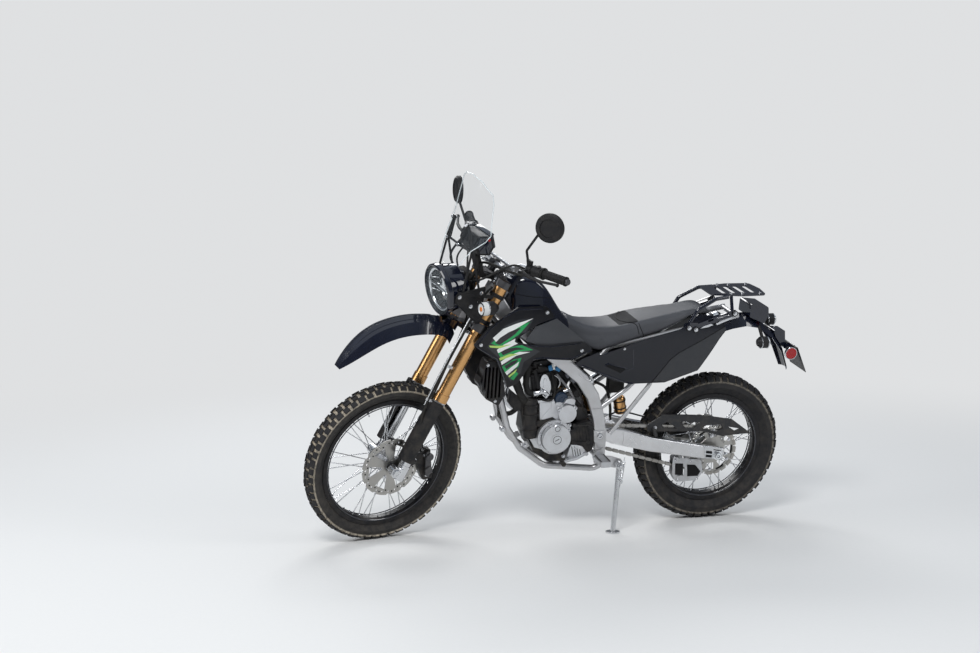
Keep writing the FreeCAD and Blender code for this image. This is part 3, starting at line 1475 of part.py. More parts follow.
arm_rows = run(from_pivot, [(0, 84, 0, 52, 24), (-101, 89, -23, 70, 28)])
arm_rows += run(from_rear_axle, [(300, 104, 60, 62, 30), (60, 108, 14, 58, 30), (-30, 108, 0, 50, 30)])
swing_arm = box_bar(arm_rows, 6)
cross_tube = box_bar(
    [(point, 60, 56) for point in spots(from_pivot, [(-89, 96, -23), (-89, -96, -23)])],
    8,
    X_AXIS,
)
pivot_tube = rod(*spots(from_pivot, [(0, 94, 0), (0, -94, 0)]), 15)
rear_shaft = rod(vec(0, -130, rear_axle.z), vec(0, 130, rear_axle.z), size.axle_radius)
rear_nut = rod(vec(0, 122, rear_axle.z), vec(0, 136, rear_axle.z), 15)
spacer = rod(vec(0, size.hub_reach + 1, rear_axle.z), vec(0, 95, rear_axle.z), 15)
swingarm = swing_arm.fuse([mirrored(swing_arm), cross_tube, pivot_tube, rear_shaft])
swingarm = swingarm.fuse([rear_nut, mirrored(rear_nut), spacer, mirrored(spacer)])
make_part("swingarm", swingarm.cut(frame), chassis)
shock_yoke = side_prism(from_pivot([(-66, -40), (-66, 0), (-40, -20), (-34, -44), (-46, -56)]), 12, 24, 4)
make_part("rear_shock", shock.fuse([shock_yoke, mirrored(shock_yoke)]).cut(frame).cut(swingarm), chassis)

drive_spot = vec(*[from_pivot([(71, -9)])[0][0], size.chain_line, from_pivot([(71, -9)])[0][1]])
big = size.chain_pitch / (2 * math.sin(math.pi / size.sprocket_teeth))
small = size.chain_pitch / (2 * math.sin(math.pi / size.drive_teeth))
wheel_spot = vec(0, size.chain_line, rear_axle.z)
span = drive_spot - wheel_spot
tilt = math.atan2(span.z, span.x)
spread = math.asin((big - small) / span.Length)
straight = span.Length * math.cos(spread)
inner_y = size.sprocket_wall / 2 + 0.6


def chain_plate(centre, angle, y):
    """An outer plate over two pins, its run at an angle in the side view."""
    length = size.chain_pitch * 1.6
    plate = Part.makeBox(length, size.link_wall, 13, vec(-length / 2, 0, -6.5))
    plate.Placement = FreeCAD.Placement(centre + vec(0, y, 0), FreeCAD.Rotation(Y_AXIS, -angle))
    return plate


links = []
for sign in (1, -1):
    angle = tilt - sign * spread
    normal = vec(-math.sin(angle), 0, math.cos(angle)) * sign
    along = vec(math.cos(angle), 0, math.sin(angle))
    start = wheel_spot + normal * big
    rollers = Part.makeBox(straight - 56, 2 * inner_y, 9, vec(0, -inner_y, -4.5))
    turned = FreeCAD.Rotation(Y_AXIS, -math.degrees(angle))
    rollers.Placement = FreeCAD.Placement(start + along * 50, turned)
    links.append(rollers)
    for index in range(2, int(straight / (2 * size.chain_pitch))):
        centre = start + along * (index + 0.5) * 2 * size.chain_pitch
        for y in (inner_y, -inner_y - size.link_wall):
            links.append(chain_plate(centre, math.degrees(angle), y))
first_turn = math.degrees(math.pi / 2 + tilt + spread) + 4
last_turn = 360 - math.degrees(math.pi / 2 - tilt + spread) - 4
wrap_count = int(math.radians(last_turn - first_turn) * big / (2 * size.chain_pitch))
for index in range(wrap_count + 1):
    angle = math.radians(first_turn + (last_turn - first_turn) * index / wrap_count)
    centre = wheel_spot + vec(math.cos(angle), 0, math.sin(angle)) * big
    for y in (inner_y, -inner_y - size.link_wall):
        links.append(chain_plate(centre, math.degrees(angle) + 90, y))
drive_wheel = rod(drive_spot - vec(0, 3, 0), drive_spot + vec(0, 3, 0), small - 4.8)
drive_shaft = rod(drive_spot - vec(0, size.chain_line - 42.3, 0), drive_spot, 12)
make_part("chain", Part.makeCompound(links + [drive_wheel.fuse(drive_shaft)]), chassis)

sprocket_cover = side_prism(
    from_pivot([(131, -47), (127, 23), (99, 51), (38, 65), (15, 3), (28, -64), (79, -96)]),
    80,
    120,
    14,
)
sprocket_cover = sprocket_cover.cut(Part.makeCompound([left_cover])).cut(frame)
make_part("sprocket_cover", sprocket_cover, chassis)

guard_outline = from_rear_axle(
    [(309, 135), (249, 172), (60, 158), (-81, 132), (-166, 72), (-120, 70), (-42, 64), (60, 92), (307, 104)]
)
guard = side_prism(guard_outline, 71, 74, 6)
for x, z in ((-60, 96), (0, 108), (70, 124), (150, 130)):
    window = from_rear_axle([(x - 18, z - 8), (x + 26, z - 4), (x + 30, z + 12), (x - 12, z + 8)])
    guard = guard.cut(side_prism(window, 60, 90, 4))
guard_shelf = side_prism(
    from_rear_axle([(249, 172), (60, 158), (-81, 132), (-166, 72), (-166, 76), (-83, 136), (58, 162), (249, 176)]),
    62,
    74,
)
guard_lug = rod(*spots(from_rear_axle, [(280, 74, 118), (280, 108, 92)]), 8)
make_part("chain_guard", guard.fuse([guard_shelf, guard_lug]).cut(swingarm), chassis)

guide_outline = from_rear_axle([(181, -17), (49, -39), (35, -95), (64, -130), (157, -133), (178, -99)])
guide = side_prism(guide_outline, 72, 76, 10)
for x in (70, 122):
    window = from_rear_axle([(x, -106), (x + 34, -106), (x + 34, -66), (x, -66)])
    guide = guide.cut(side_prism(window, 60, 90, 6))
far_plate = side_prism(
    from_rear_axle([(181, -17), (124, -26), (124, -132), (157, -133), (178, -99)]), 44, 48, 8
)
guide = guide.fuse([far_plate, rod(*spots(from_rear_axle, [(166, 45, -28), (166, 74, -28)]), 6)])
guide = guide.fuse(rod(*spots(from_rear_axle, [(150, 45, -124), (150, 74, -124)]), 6))
guide = guide.fuse(rod(*spots(from_rear_axle, [(150, 72, -22), (150, 98, 2)]), 7))
make_part("chain_guide", guide.cut(swingarm), chassis)

# Rider's controls at the feet

peg_start, peg_end = spots(from_pivot, [(0, 128, -95), (0, 218, -95)])
peg = box_bar([(peg_start, 24, 46), (peg_end, 24, 46)], 6, X_AXIS)
peg_root = side_prism(from_pivot([(-13, -57), (-36, -127), (15, -117), (29, -75)]), 112, 132, 8)
pegs = both_sides(peg.fuse(peg_root)).cut(frame)
make_part("footpegs", pegs, chassis)

gear_lever = tube(
    spots(from_pivot, [(57, 128, -75), (99, 138, -91), (163, 150, -99), (171, 182, -95)]), 6, 10
)
gear_shaft = rod(*spots(from_pivot, [(57, 76, -75), (57, 138, -75)]), 8)
brake_lever = tube(
    spots(from_pivot, [(-11, -140, -117), (59, -150, -129), (179, -142, -125), (193, -168, -117)]), 6, 14
)
brake_shaft = rod(*spots(from_pivot, [(-11, -96, -117), (-11, -146, -117)]), 8)
controls = Part.makeCompound([gear_lever.fuse(gear_shaft), brake_lever.fuse(brake_shaft)])
controls = controls.cut(sprocket_cover).cut(pegs).cut(case).cut(frame)
make_part("foot_controls", controls, chassis)

rear_caliper = side_prism(
    from_rear_axle([(60, 92), (150, 76), (150, 32), (96, 24), (60, 52)]), -92.7, -44, 10
)
rear_caliper = rear_caliper.cut(
    side_prism(from_rear_axle([(-10, 92), (-10, -28), (126, -28), (126, 92)]), -64, -55)
)
make_part("rear_caliper", rear_caliper.cut(swingarm), chassis)

# Side stand

foot_near = spots(from_pivot, [(-63, 195, -410)])[0]
foot_point = foot_near - ground_up * (height_over_ground(foot_near))
leg_run = (foot_point - stand_pivot).normalize()
leg = rod(stand_pivot, foot_point - leg_run * 4, size.stand_radius)
foot_plate = Part.makeCylinder(30, 6, foot_point, ground_up)
pivot_boss = rod(stand_pivot - vec(0, 7, 0), stand_pivot + vec(0, 15, 0), 17)
foot_peg = rod(stand_pivot + leg_run * 60, stand_pivot + leg_run * 60 + vec(-6, 34, 0), 5)
leg = leg.fuse([pivot_boss, foot_plate, foot_peg])
leg = leg.cut(rod(stand_pivot - vec(0, 20, 0), stand_pivot + vec(0, 40, 0), STAND_PIN + size.running_gap))
under = Part.makeBox(200, 200, 60, vec(-100, -100, -60))
under.Placement = FreeCAD.Placement(foot_point, FreeCAD.Rotation(Z_AXIS, ground_up))
make_part("side_stand", leg.cut(under), chassis)

# Checks, then one file for each piece

doc.recompute()
for item in doc.Objects:
    if "Invalid" in item.State or "Error" in item.State:
        raise RuntimeError(f"{item.Label} failed")
for piece in finished:
    if piece.Shape.isNull() or not piece.Shape.isValid():
        raise RuntimeError(f"{piece.Label} has no valid shape")
os.makedirs("parts", exist_ok=True)
for piece in finished:
    piece.Shape.exportStep(f"parts/{piece.Label}.step")
    print(piece.Label, len(piece.Shape.Solids), round(piece.Shape.Volume))
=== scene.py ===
import json
import math

import bmesh
import bpy
from mathutils import Matrix, Vector
from mathutils.bvhtree import BVHTree
from mathutils.geometry import tessellate_polygon


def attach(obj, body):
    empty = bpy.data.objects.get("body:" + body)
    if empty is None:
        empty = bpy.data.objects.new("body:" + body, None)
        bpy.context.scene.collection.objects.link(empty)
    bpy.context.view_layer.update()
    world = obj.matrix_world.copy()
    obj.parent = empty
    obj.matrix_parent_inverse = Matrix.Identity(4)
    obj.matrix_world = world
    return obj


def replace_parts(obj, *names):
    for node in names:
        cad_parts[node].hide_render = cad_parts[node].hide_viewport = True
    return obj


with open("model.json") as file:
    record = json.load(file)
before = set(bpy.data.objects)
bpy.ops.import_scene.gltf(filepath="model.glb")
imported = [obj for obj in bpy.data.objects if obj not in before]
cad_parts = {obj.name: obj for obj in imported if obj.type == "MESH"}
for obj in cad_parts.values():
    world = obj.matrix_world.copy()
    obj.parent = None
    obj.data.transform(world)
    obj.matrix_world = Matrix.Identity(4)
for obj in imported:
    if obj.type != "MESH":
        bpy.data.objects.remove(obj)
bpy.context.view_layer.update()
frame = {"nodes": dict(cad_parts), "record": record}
nodes = frame["nodes"]

# The bike's own frame: upright and steered straight ahead, in millimetres, with the rear axle at x = 0.
# These are the same values that the part's source leans and steers it by.
LEAN = math.radians(10.94)
PITCH = math.radians(0.10846)
LIFT = 2.0697
STEER = math.radians(14.38)
RAKE = math.radians(26.5)
HEAD = Vector((1031.0, 0.0, 1011.0))
REAR_AXLE = Vector((0.0, 0.0, 328.0))
FRONT_AXLE = Vector((1430.22, 0.0, 347.0))
FORK_OFFSET = 31.0
FORK_SPREAD = 98.0
PIVOT_X = 541.0
PIVOT_Z = 446.0

MILLIMETRE = Matrix.Scale(0.001, 4)
FORK_UP = Vector((-math.sin(RAKE), 0.0, math.cos(RAKE)))
FORK_AHEAD = Vector((math.cos(RAKE), 0.0, math.sin(RAKE)))
SIDE = Vector((0.0, 1.0, 0.0))
LEANED = (
    Matrix.Translation((0.0, 0.0, LIFT))
    @ Matrix.Rotation(-LEAN, 4, "X")
    @ Matrix.Rotation(PITCH, 4, "Y")
)
CHASSIS = MILLIMETRE @ LEANED
STEERED = (
    MILLIMETRE
    @ LEANED
    @ Matrix.Translation(HEAD)
    @ Matrix.Rotation(STEER, 4, FORK_UP)
    @ Matrix.Translation(-HEAD)
)
PLACES = {
    "chassis": CHASSIS,
    "steering": STEERED,
    "front_wheel": STEERED,
    "rear_wheel": CHASSIS,
    "side_stand": CHASSIS,
}

# Shader nodes


def feed(tree, node, *sources, **values):
    """Sets a node's inputs, in order or by name, to values or to links from other nodes' outputs."""
    sockets = list(zip(node.inputs, sources))
    sockets += [(node.inputs[key.replace("_", " ")], value) for key, value in values.items()]
    for socket, value in sockets:
        if isinstance(value, bpy.types.NodeSocket):
            tree.links.new(value, socket)
        else:
            socket.default_value = value


def step(tree, kind, *sources, **values):
    """A new shader node, with its settings and its inputs' values or links."""
    node = tree.nodes.new(f"ShaderNode{kind}")
    for key in ("operation", "data_type", "interpolation_type"):
        if key in values:
            setattr(node, key, values.pop(key))
    feed(tree, node, *sources, **values)
    return node


def product(tree, first, second):
    return step(tree, "Math", first, second, operation="MULTIPLY").outputs[0]


def scaled(colour, factor):
    """A colour made lighter or darker, with full cover."""
    return tuple(min(1.0, part * factor) for part in colour[:3]) + (1.0,)


# Camera, floor and light
PHOTO_WIDTH = 980
FOCAL_PIXELS = 1658
CAMERA_AT = Vector((2.950, 6.555, 1.603))
CAMERA_TO = Vector((0.954, 0.0, 0.861))
FLOOR_SIZE = 80.0
FLOOR_COLOUR = (0.74, 0.74, 0.73)
BACKDROP_COLOUR = (0.74, 0.75, 0.76)
FLOOR_FADE_START = 1.6
FLOOR_FADE_END = 5.5
FLOOR_MIDDLE = (0.7, 0.2, 0.0)


def add_camera():
    """The photo's camera."""
    data = bpy.data.cameras.new("camera")
    data.sensor_width = 36.0
    data.lens = FOCAL_PIXELS / PHOTO_WIDTH * data.sensor_width
    camera = bpy.data.objects.new("camera", data)
    camera.location = CAMERA_AT
    camera.rotation_euler = (CAMERA_TO - CAMERA_AT).to_track_quat("-Z", "Y").to_euler()
    bpy.context.scene.collection.objects.link(camera)
    bpy.context.scene.camera = camera


# Height in the sky, from 0 below to 1 above, and the colour of its light
SKY = (
    (0.42, (0.16, 0.17, 0.19)),
    (1.0, (0.86, 0.93, 1.0)),
    (0.53, (0.22, 0.25, 0.30)),
    (0.72, (0.72, 0.80, 0.92)),
)
SKY_POWER = 0.6


def add_world():
    """A plain backdrop for the camera, and a sky that is dark at the horizon for light and mirroring."""
    world = bpy.data.worlds.new("studio")
    bpy.context.scene.world = world
    world.use_nodes = True
    tree = world.node_tree
    tree.nodes.clear()
    split = step(tree, "SeparateXYZ", step(tree, "TexCoord").outputs["Generated"])
    ramp = step(tree, "ValToRGB", Fac=split.outputs["Z"])
    stops = ramp.color_ramp.elements
    for index, (position, colour) in enumerate(SKY):
        stop = stops[index] if index < 2 else stops.new(position)
        stop.position = position
        stop.color = (*colour, 1.0)
    lit = step(tree, "Background", Color=ramp.outputs["Color"], Strength=SKY_POWER)
    seen = step(tree, "Background", Color=(*BACKDROP_COLOUR, 1.0))
    rays = step(tree, "LightPath").outputs
    either = step(tree, "Math", rays["Is Camera Ray"], rays["Is Transmission Ray"], operation="MAXIMUM")
    mix = step(tree, "MixShader", either.outputs[0], lit.outputs[0], seen.outputs[0])
    step(tree, "OutputWorld", mix.outputs[0])


# name, where it stands, what it points at, width, height, power
LAMPS = (
    ("key", (4.4, 5.4, 6.4), (0.9, 0.1, 0.6), 3.0, 2.0, 400.0),
    ("side", (-4.6, 4.6, 3.6), (0.5, 0.1, 0.7), 2.4, 2.4, 95.0),
    ("back", (0.5, -5.0, 4.6), (0.8, 0.1, 0.8), 4.0, 1.8, 170.0),
    ("front", (6.0, 0.4, 2.8), (1.2, 0.1, 0.7), 1.8, 2.0, 60.0),
)


def add_lamps():
    for name, stand, target, width, height, power in LAMPS:
        data = bpy.data.lights.new(name, "AREA")
        data.shape = "RECTANGLE"
        data.size = width
        data.size_y = height
        data.energy = power
        lamp = bpy.data.objects.new(name, data)
        lamp.location = stand
        towards = Vector(target) - Vector(stand)
        lamp.rotation_euler = towards.to_track_quat("-Z", "Y").to_euler()
        bpy.context.scene.collection.objects.link(lamp)


def floor_finish():
    """The floor's own pale colour near the bike, fading to the backdrop's colour far from it."""
    made = bpy.data.materials.new("floor")
    made.use_nodes = True
    tree = made.node_tree
    shader = tree.nodes["Principled BSDF"]
    spot = step(tree, "TexCoord").outputs["Object"]
    grain = step(tree, "TexNoise", Vector=spot, Scale=60.0).outputs["Fac"]
    dark, pale = scaled(FLOOR_COLOUR, 0.985), scaled(FLOOR_COLOUR, 1.015)
    tints = step(tree, "Mix", data_type="RGBA", Factor=grain, A=dark, B=pale)
    feed(tree, shader, Base_Color=tints.outputs["Result"], Roughness=0.9)
    distance = step(tree, "VectorMath", spot, FLOOR_MIDDLE, operation="DISTANCE").outputs["Value"]
    fade = step(
        tree, "MapRange", interpolation_type="SMOOTHERSTEP",
        Value=distance, From_Min=FLOOR_FADE_START, From_Max=FLOOR_FADE_END,
    )
    seen = step(tree, "LightPath").outputs["Is Camera Ray"]
    share = product(tree, fade.outputs["Result"], seen)
    glow = step(tree, "Emission", Color=(*BACKDROP_COLOUR, 1.0))
    mix = step(tree, "MixShader", share, shader.outputs[0], glow.outputs[0])
    feed(tree, tree.nodes["Material Output"], mix.outputs[0])
    return made


def add_floor():
    half = FLOOR_SIZE / 2
    mesh = bpy.data.meshes.new("floor")
    corners = [(-half, -half, 0.0), (half, -half, 0.0), (half, half, 0.0), (-half, half, 0.0)]
    mesh.from_pydata(corners, [], [(0, 1, 2, 3)])
    mesh.materials.append(floor_finish())
    floor = bpy.data.objects.new("floor", mesh)
    bpy.context.scene.collection.objects.link(floor)


# Finishes
DUST_COLOUR = (0.30, 0.25, 0.19)
TREAD_DUST_COLOUR = (0.50, 0.44, 0.35)
# How strongly every finish mirrors at a right angle: low, so that black stays black
SHEEN = 0.28


def finish(
    name,
    colour,
    rough,
    metal=0.0,
    coat=0.0,
    grain=0.0015,
    bump=0.08,
    tint=0.12,
    dust=0.12,
    stretch=(1.0, 1.0, 1.0),
    patch=0.09,
):
    """A procedural finish: colour in patches, a fine grain in relief, and dust that gathers low down."""
    made = bpy.data.materials.new(name)
    made.use_nodes = True
    tree = made.node_tree
    shader = tree.nodes["Principled BSDF"]
    feed(tree, shader, Metallic=metal, Specular_IOR_Level=SHEEN)
    if coat:
        feed(tree, shader, Coat_Weight=coat, Coat_Roughness=0.04)

    spot = step(tree, "TexCoord").outputs["Object"]
    patches = step(tree, "TexNoise", Vector=spot, Scale=1.0 / patch, Detail=5.0).outputs["Fac"]
    dark, pale = scaled(colour, 1.0 - tint), scaled(colour, 1.0 + tint)
    base = step(tree, "Mix", data_type="RGBA", Factor=patches, A=dark, B=pale).outputs["Result"]
    spread = step(tree, "Mapping", Vector=spot, Scale=stretch).outputs["Vector"]
    fine = step(tree, "TexNoise", Vector=spread, Scale=1.0 / grain, Detail=3.0).outputs["Fac"]
    relief = step(tree, "Bump", Height=fine, Strength=bump, Distance=grain * 0.5)
    low, high = max(0.03, rough * 0.8), min(1.0, rough * 1.2)
    shine = step(tree, "MapRange", Value=patches, To_Min=low, To_Max=high).outputs["Result"]

    if dust:
        height = step(tree, "SeparateXYZ", spot).outputs["Z"]
        near_floor = step(tree, "MapRange", Value=height, From_Min=0.75, From_Max=0.10, To_Min=0.25)
        specks = step(tree, "TexNoise", Vector=spot, Scale=28.0, Detail=8.0, Roughness=0.7).outputs["Fac"]
        cut = step(tree, "MapRange", Value=specks, From_Min=0.42, From_Max=0.75)
        amount = product(tree, near_floor.outputs["Result"], cut.outputs["Result"])
        share = product(tree, amount, dust * 2.0)
        earth = (*DUST_COLOUR, 1.0)
        base = step(tree, "Mix", data_type="RGBA", Factor=share, A=base, B=earth).outputs["Result"]
        shine = step(tree, "Mix", Factor=share, A=shine, B=0.9).outputs["Result"]
    feed(tree, shader, Base_Color=base, Roughness=shine, Normal=relief.outputs["Normal"])
    return made


# name, colour, roughness, and what differs from the usual finish
FINISH_ROWS = (
    ("black_rim", (0.006, 0.006, 0.008), 0.3, dict(dust=0.05)),
    ("bright_steel", (0.66, 0.67, 0.69), 0.2, dict(metal=1.0, dust=0.08)),
    ("cast_alloy", (0.58, 0.59, 0.61), 0.4, dict(metal=0.9, bump=0.25, dust=0.2)),
    ("disc_steel", (0.42, 0.41, 0.39), 0.32, dict(metal=1.0, dust=0.05)),
    ("bronze", (0.66, 0.37, 0.15), 0.27, dict(metal=1.0, bump=0.01, dust=0.03)),
    ("black_plastic", (0.011, 0.011, 0.0125), 0.5, dict(bump=0.2, dust=0.1)),
    ("black_gloss", (0.006, 0.008, 0.018), 0.12, dict(coat=1.0, bump=0.0, dust=0.03)),
    ("silver_paint", (0.56, 0.56, 0.57), 0.33, dict(metal=0.75, dust=0.12)),
    ("black_metal", (0.016, 0.016, 0.018), 0.4, dict(metal=0.3, bump=0.15, dust=0.15)),
    ("rubber", (0.012, 0.012, 0.012), 0.65, dict(bump=0.2, dust=0.1)),
    ("seat", (0.010, 0.010, 0.012), 0.52, dict(bump=0.3, dust=0.03)),
    ("brushed_alloy", (0.72, 0.72, 0.73), 0.27,
     dict(metal=1.0, grain=0.0012, bump=0.02, dust=0.1, stretch=(1.0, 18.0, 18.0))),
    ("engine_alloy", (0.66, 0.67, 0.69), 0.34, dict(metal=0.85, grain=0.0008, bump=0.12, dust=0.16)),
    ("dark_alloy", (0.09, 0.09, 0.095), 0.36, dict(metal=0.8, dust=0.08)),
    ("mirror_bright", (0.86, 0.88, 0.90), 0.08, dict(metal=1.0, bump=0.02, tint=0.02, dust=0.0)),
    ("chain_steel", (0.40, 0.39, 0.37), 0.36, dict(metal=0.95, dust=0.25)),
    ("satin_panel", (0.006, 0.0065, 0.009), 0.32, dict(coat=0.05, grain=0.0008, bump=0.1, dust=0.06)),
    ("grey_panel", (0.058, 0.061, 0.068), 0.45, dict(grain=0.0008, bump=0.18, dust=0.05)),
    ("gap_shadow", (0.004, 0.004, 0.005), 0.7, dict(bump=0.0, tint=0.05, dust=0.0)),
    ("grip_rubber", (0.015, 0.015, 0.016), 0.6, dict(grain=0.0012, bump=0.4, dust=0.03)),
    ("shard_green", (0.005, 0.30, 0.075), 0.24, dict(coat=0.6, bump=0.0, tint=0.06, dust=0.03)),
    ("shard_white", (0.78, 0.80, 0.78), 0.26, dict(coat=0.6, bump=0.0, tint=0.03, dust=0.03)),
    ("shard_black", (0.008, 0.008, 0.01), 0.22, dict(coat=0.6, bump=0.0, tint=0.05, dust=0.03)),
    ("shard_lime", (0.42, 0.62, 0.14), 0.26, dict(coat=0.6, bump=0.0, tint=0.05, dust=0.03)),
    ("blue_plug", (0.05, 0.24, 0.50), 0.4, dict(bump=0.0, tint=0.08, dust=0.05)),
    ("seat_side", (0.066, 0.069, 0.077), 0.5, dict(grain=0.0022, bump=0.35, tint=0.06, dust=0.03)),
    ("seat_top", (0.004, 0.0045, 0.0065), 0.72, dict(grain=0.0011, bump=0.6, tint=0.08, dust=0.04)),
    ("thread", (0.012, 0.012, 0.013), 0.7, dict(grain=0.0012, bump=0.4, dust=0.0)),
    ("plate_blank", (0.62, 0.63, 0.62), 0.4, dict(grain=0.002, bump=0.06, tint=0.03, dust=0.06)),
    ("red_lens", (0.34, 0.006, 0.008), 0.15, dict(coat=0.5, bump=0.0, dust=0.0)),
    ("signal", (0.72, 0.73, 0.72), 0.25, dict(coat=0.5, bump=0.0, dust=0.0)),
    ("signal_amber", (0.70, 0.22, 0.05), 0.25, dict(coat=0.5, bump=0.0, dust=0.0)),
    ("lamp_bowl", (0.006, 0.007, 0.009), 0.14, dict(coat=0.25, bump=0.0, dust=0.0)),
    ("starter_blue", (0.012, 0.025, 0.05), 0.28, dict(coat=0.5, bump=0.05, dust=0.05)),
    ("pipe_grey", (0.20, 0.20, 0.21), 0.45, dict(metal=0.3, dust=0.1)),
    ("relay_grey", (0.14, 0.15, 0.17), 0.42, dict(dust=0.05)),
    ("shard_panel", (0.022, 0.024, 0.028), 0.3, dict(coat=0.4, bump=0.0, dust=0.04)),
    ("grey_satin", (0.030, 0.032, 0.037), 0.36, dict(coat=0.2, grain=0.0008, bump=0.08, dust=0.05)),
    ("guard_grey", (0.028, 0.029, 0.032), 0.45, dict(bump=0.15, dust=0.12)),
    ("cover_gloss", (0.004, 0.005, 0.010), 0.2, dict(coat=0.35, bump=0.0, dust=0.03)),
)
FINISHES = {name: finish(name, colour, rough, **rest) for name, colour, rough, rest in FINISH_ROWS}


def clear_finish(name, colour, rough, share):
    """Thin clear plastic: mostly see-through, with its shine kept."""
    made = bpy.data.materials.new(name)
    made.use_nodes = True
    tree = made.node_tree
    feed(
        tree, tree.nodes["Principled BSDF"], Base_Color=(*colour, 1.0), Roughness=rough,
        IOR=1.45, Alpha=share, Coat_Weight=1.0, Coat_Roughness=0.03,
    )
    return made


for row in (
    # name, colour, roughness, how much it hides
    ("clear", (0.16, 0.19, 0.21), 0.05, 0.06),
    # painted highlight for the windshield's edge: pale and mostly opaque
    ("painted_edge_highlight", (0.86, 0.93, 0.95), 0.08, 0.75),
    ("lamp_glass", (0.30, 0.34, 0.37), 0.03, 0.10),
    ("dial_glass", (0.05, 0.06, 0.07), 0.06, 0.9),
):
    FINISHES[row[0]] = clear_finish(*row)

# Each tyre as in the part's source: body, axle, radius, width, lug height; and how much dust lies in it
TYRES = {
    "front_tyre": ("front_wheel", FRONT_AXLE, 347, 84, 10, 0.95),
    "rear_tyre": ("rear_wheel", REAR_AXLE, 328, 104, 13, 0.35),
}
TREAD_PITCHES = 19
PITCH_ANGLE = 2 * math.pi / TREAD_PITCHES


def tread_rows(name):
    """The tyre's bare crown between the lugs, as rows of radius and distance from the middle."""
    _, _, radius, width, lug_height, _ = TYRES[name]
    base = (radius - lug_height) / math.cos(PITCH_ANGLE / 4)
    half = width / 2 - lug_height * 0.3
    return [(base, 0.0), (base - 0.10 * half, half * 0.62), (base - 0.34 * half, half * 0.94)]


def crown_at(name, y):
    """The radius of the tread's crown at a distance from the middle."""
    rows = tread_rows(name)
    for (inner_r, inner_y), (outer_r, outer_y) in zip(rows, rows[1:]):
        if y <= outer_y:
            return inner_r + (outer_r - inner_r) * (y - inner_y) / (outer_y - inner_y)
    return rows[-1][0]


def tyre_finish(name):
    """Tyre rubber whose dust lies on the crown between the lugs, and not on their tops or the side walls."""
    body, centre, _, _, _, dust = TYRES[name]
    made = finish(name, (0.014, 0.0145, 0.017), 0.7, grain=0.003, bump=0.3, dust=0.06)
    tree = made.node_tree
    shader = tree.nodes["Principled BSDF"]
    under = shader.inputs["Base Color"].links[0].from_socket
    place = PLACES[body]
    along = (place.to_3x3() @ SIDE).normalized()
    (middle_r, _), (crown_r, crown_y), (edge_r, edge_y) = (
        (radius / 1000, y / 1000) for radius, y in tread_rows(name)
    )

    spot = step(tree, "TexCoord").outputs["Object"]
    offset = step(tree, "VectorMath", spot, place @ centre, operation="SUBTRACT").outputs["Vector"]
    across = step(tree, "VectorMath", offset, along, operation="CROSS_PRODUCT").outputs["Vector"]
    radius = step(tree, "VectorMath", across, operation="LENGTH").outputs["Value"]
    sideways = step(tree, "VectorMath", offset, along, operation="DOT_PRODUCT").outputs["Value"]
    away = step(tree, "Math", sideways, operation="ABSOLUTE").outputs[0]
    crown = step(tree, "MapRange", Value=away, From_Max=crown_y, To_Min=middle_r, To_Max=crown_r)
    shoulder = step(tree, "MapRange", Value=away, From_Min=crown_y, From_Max=edge_y, To_Max=edge_r - crown_r)
    floor = step(tree, "Math", crown.outputs["Result"], shoulder.outputs["Result"], operation="ADD")
    above = step(tree, "Math", radius, floor.outputs[0], operation="SUBTRACT").outputs[0]
    hollow = step(tree, "MapRange", Value=above, From_Min=0.0045, From_Max=0.0015).outputs["Result"]
    tread = step(tree, "MapRange", Value=above, From_Min=-0.006, From_Max=-0.002, To_Min=0.05)
    specks = step(tree, "TexNoise", Vector=spot, Scale=48.0, Detail=8.0, Roughness=0.75).outputs["Fac"]
    grain = step(tree, "MapRange", Value=specks, From_Min=0.34, From_Max=0.58, To_Min=0.15)
    lying = product(tree, hollow, tread.outputs["Result"])
    share = product(tree, product(tree, lying, grain.outputs["Result"]), dust)
    earth = (*TREAD_DUST_COLOUR, 1.0)
    dusty = step(tree, "Mix", data_type="RGBA", Factor=share, A=under, B=earth)
    feed(tree, shader, Base_Color=dusty.outputs["Result"])
    return made


for key in TYRES:
    FINISHES[key] = tyre_finish(key)

# Finishes that a carried-over piece takes in place of its slot's own
NODE_FINISHES = {
    "front_tyre": "front_tyre",
    "headlight_lens": "lamp_glass",
    "rear_tyre": "rear_tyre",
    "swingarm": "brushed_alloy",
    "engine_covers": "engine_alloy",
    "tank_wings": "grey_panel",
    "tank_shrouds": "satin_panel",
    "triple_clamps": "dark_alloy",
    "side_stand": "bright_steel",
    "cradle": "silver_paint",
    "headlight": "black_gloss",
    "chain": "chain_steel",
    "rear_rack": "black_gloss",
    "rear_signals": "black_plastic",
    "chain_guard": "guard_grey",
    "tail_light": "black_gloss",
    "side_covers": "cover_gloss",
}


def dress_nodes():
    """Gives each carried-over piece the finish of its slot, or its own."""
    for row in frame["record"]["subparts"]:
        name = row["node"]
        key = NODE_FINISHES.get(name, row["material_slot"])
        node = nodes[name]
        node.data.materials.clear()
        node.data.materials.append(FINISHES[key])


# Mesh helpers. Their points are millimetres in the bike's own frame.


def at_head(x, y, z):
    return HEAD + Vector((x, y, z))


def at_front_axle(x, y, z):
    return FRONT_AXLE + Vector((x, y, z))


def at_rear_axle(x, y, z):
    return REAR_AXLE + Vector((x, y, z))


def at_pivot(x, y, z):
    """A point measured from the swingarm's pivot."""
    return Vector((PIVOT_X + x, y, PIVOT_Z + z))


def on_fork(up, ahead=0.0, y=0.0):
    """A point by its distance up the steering axis from the head's middle, ahead of it and to the left."""
    return HEAD + FORK_UP * up + FORK_AHEAD * ahead + SIDE * y


def flipped(point):
    return Vector((point[0], -point[1], point[2]))


def facing(at, direction):
    """A place whose z runs along a direction."""
    turn = Vector(direction).normalized().to_track_quat("Z", "Y").to_matrix().to_4x4()
    return Matrix.Translation(Vector(at)) @ turn


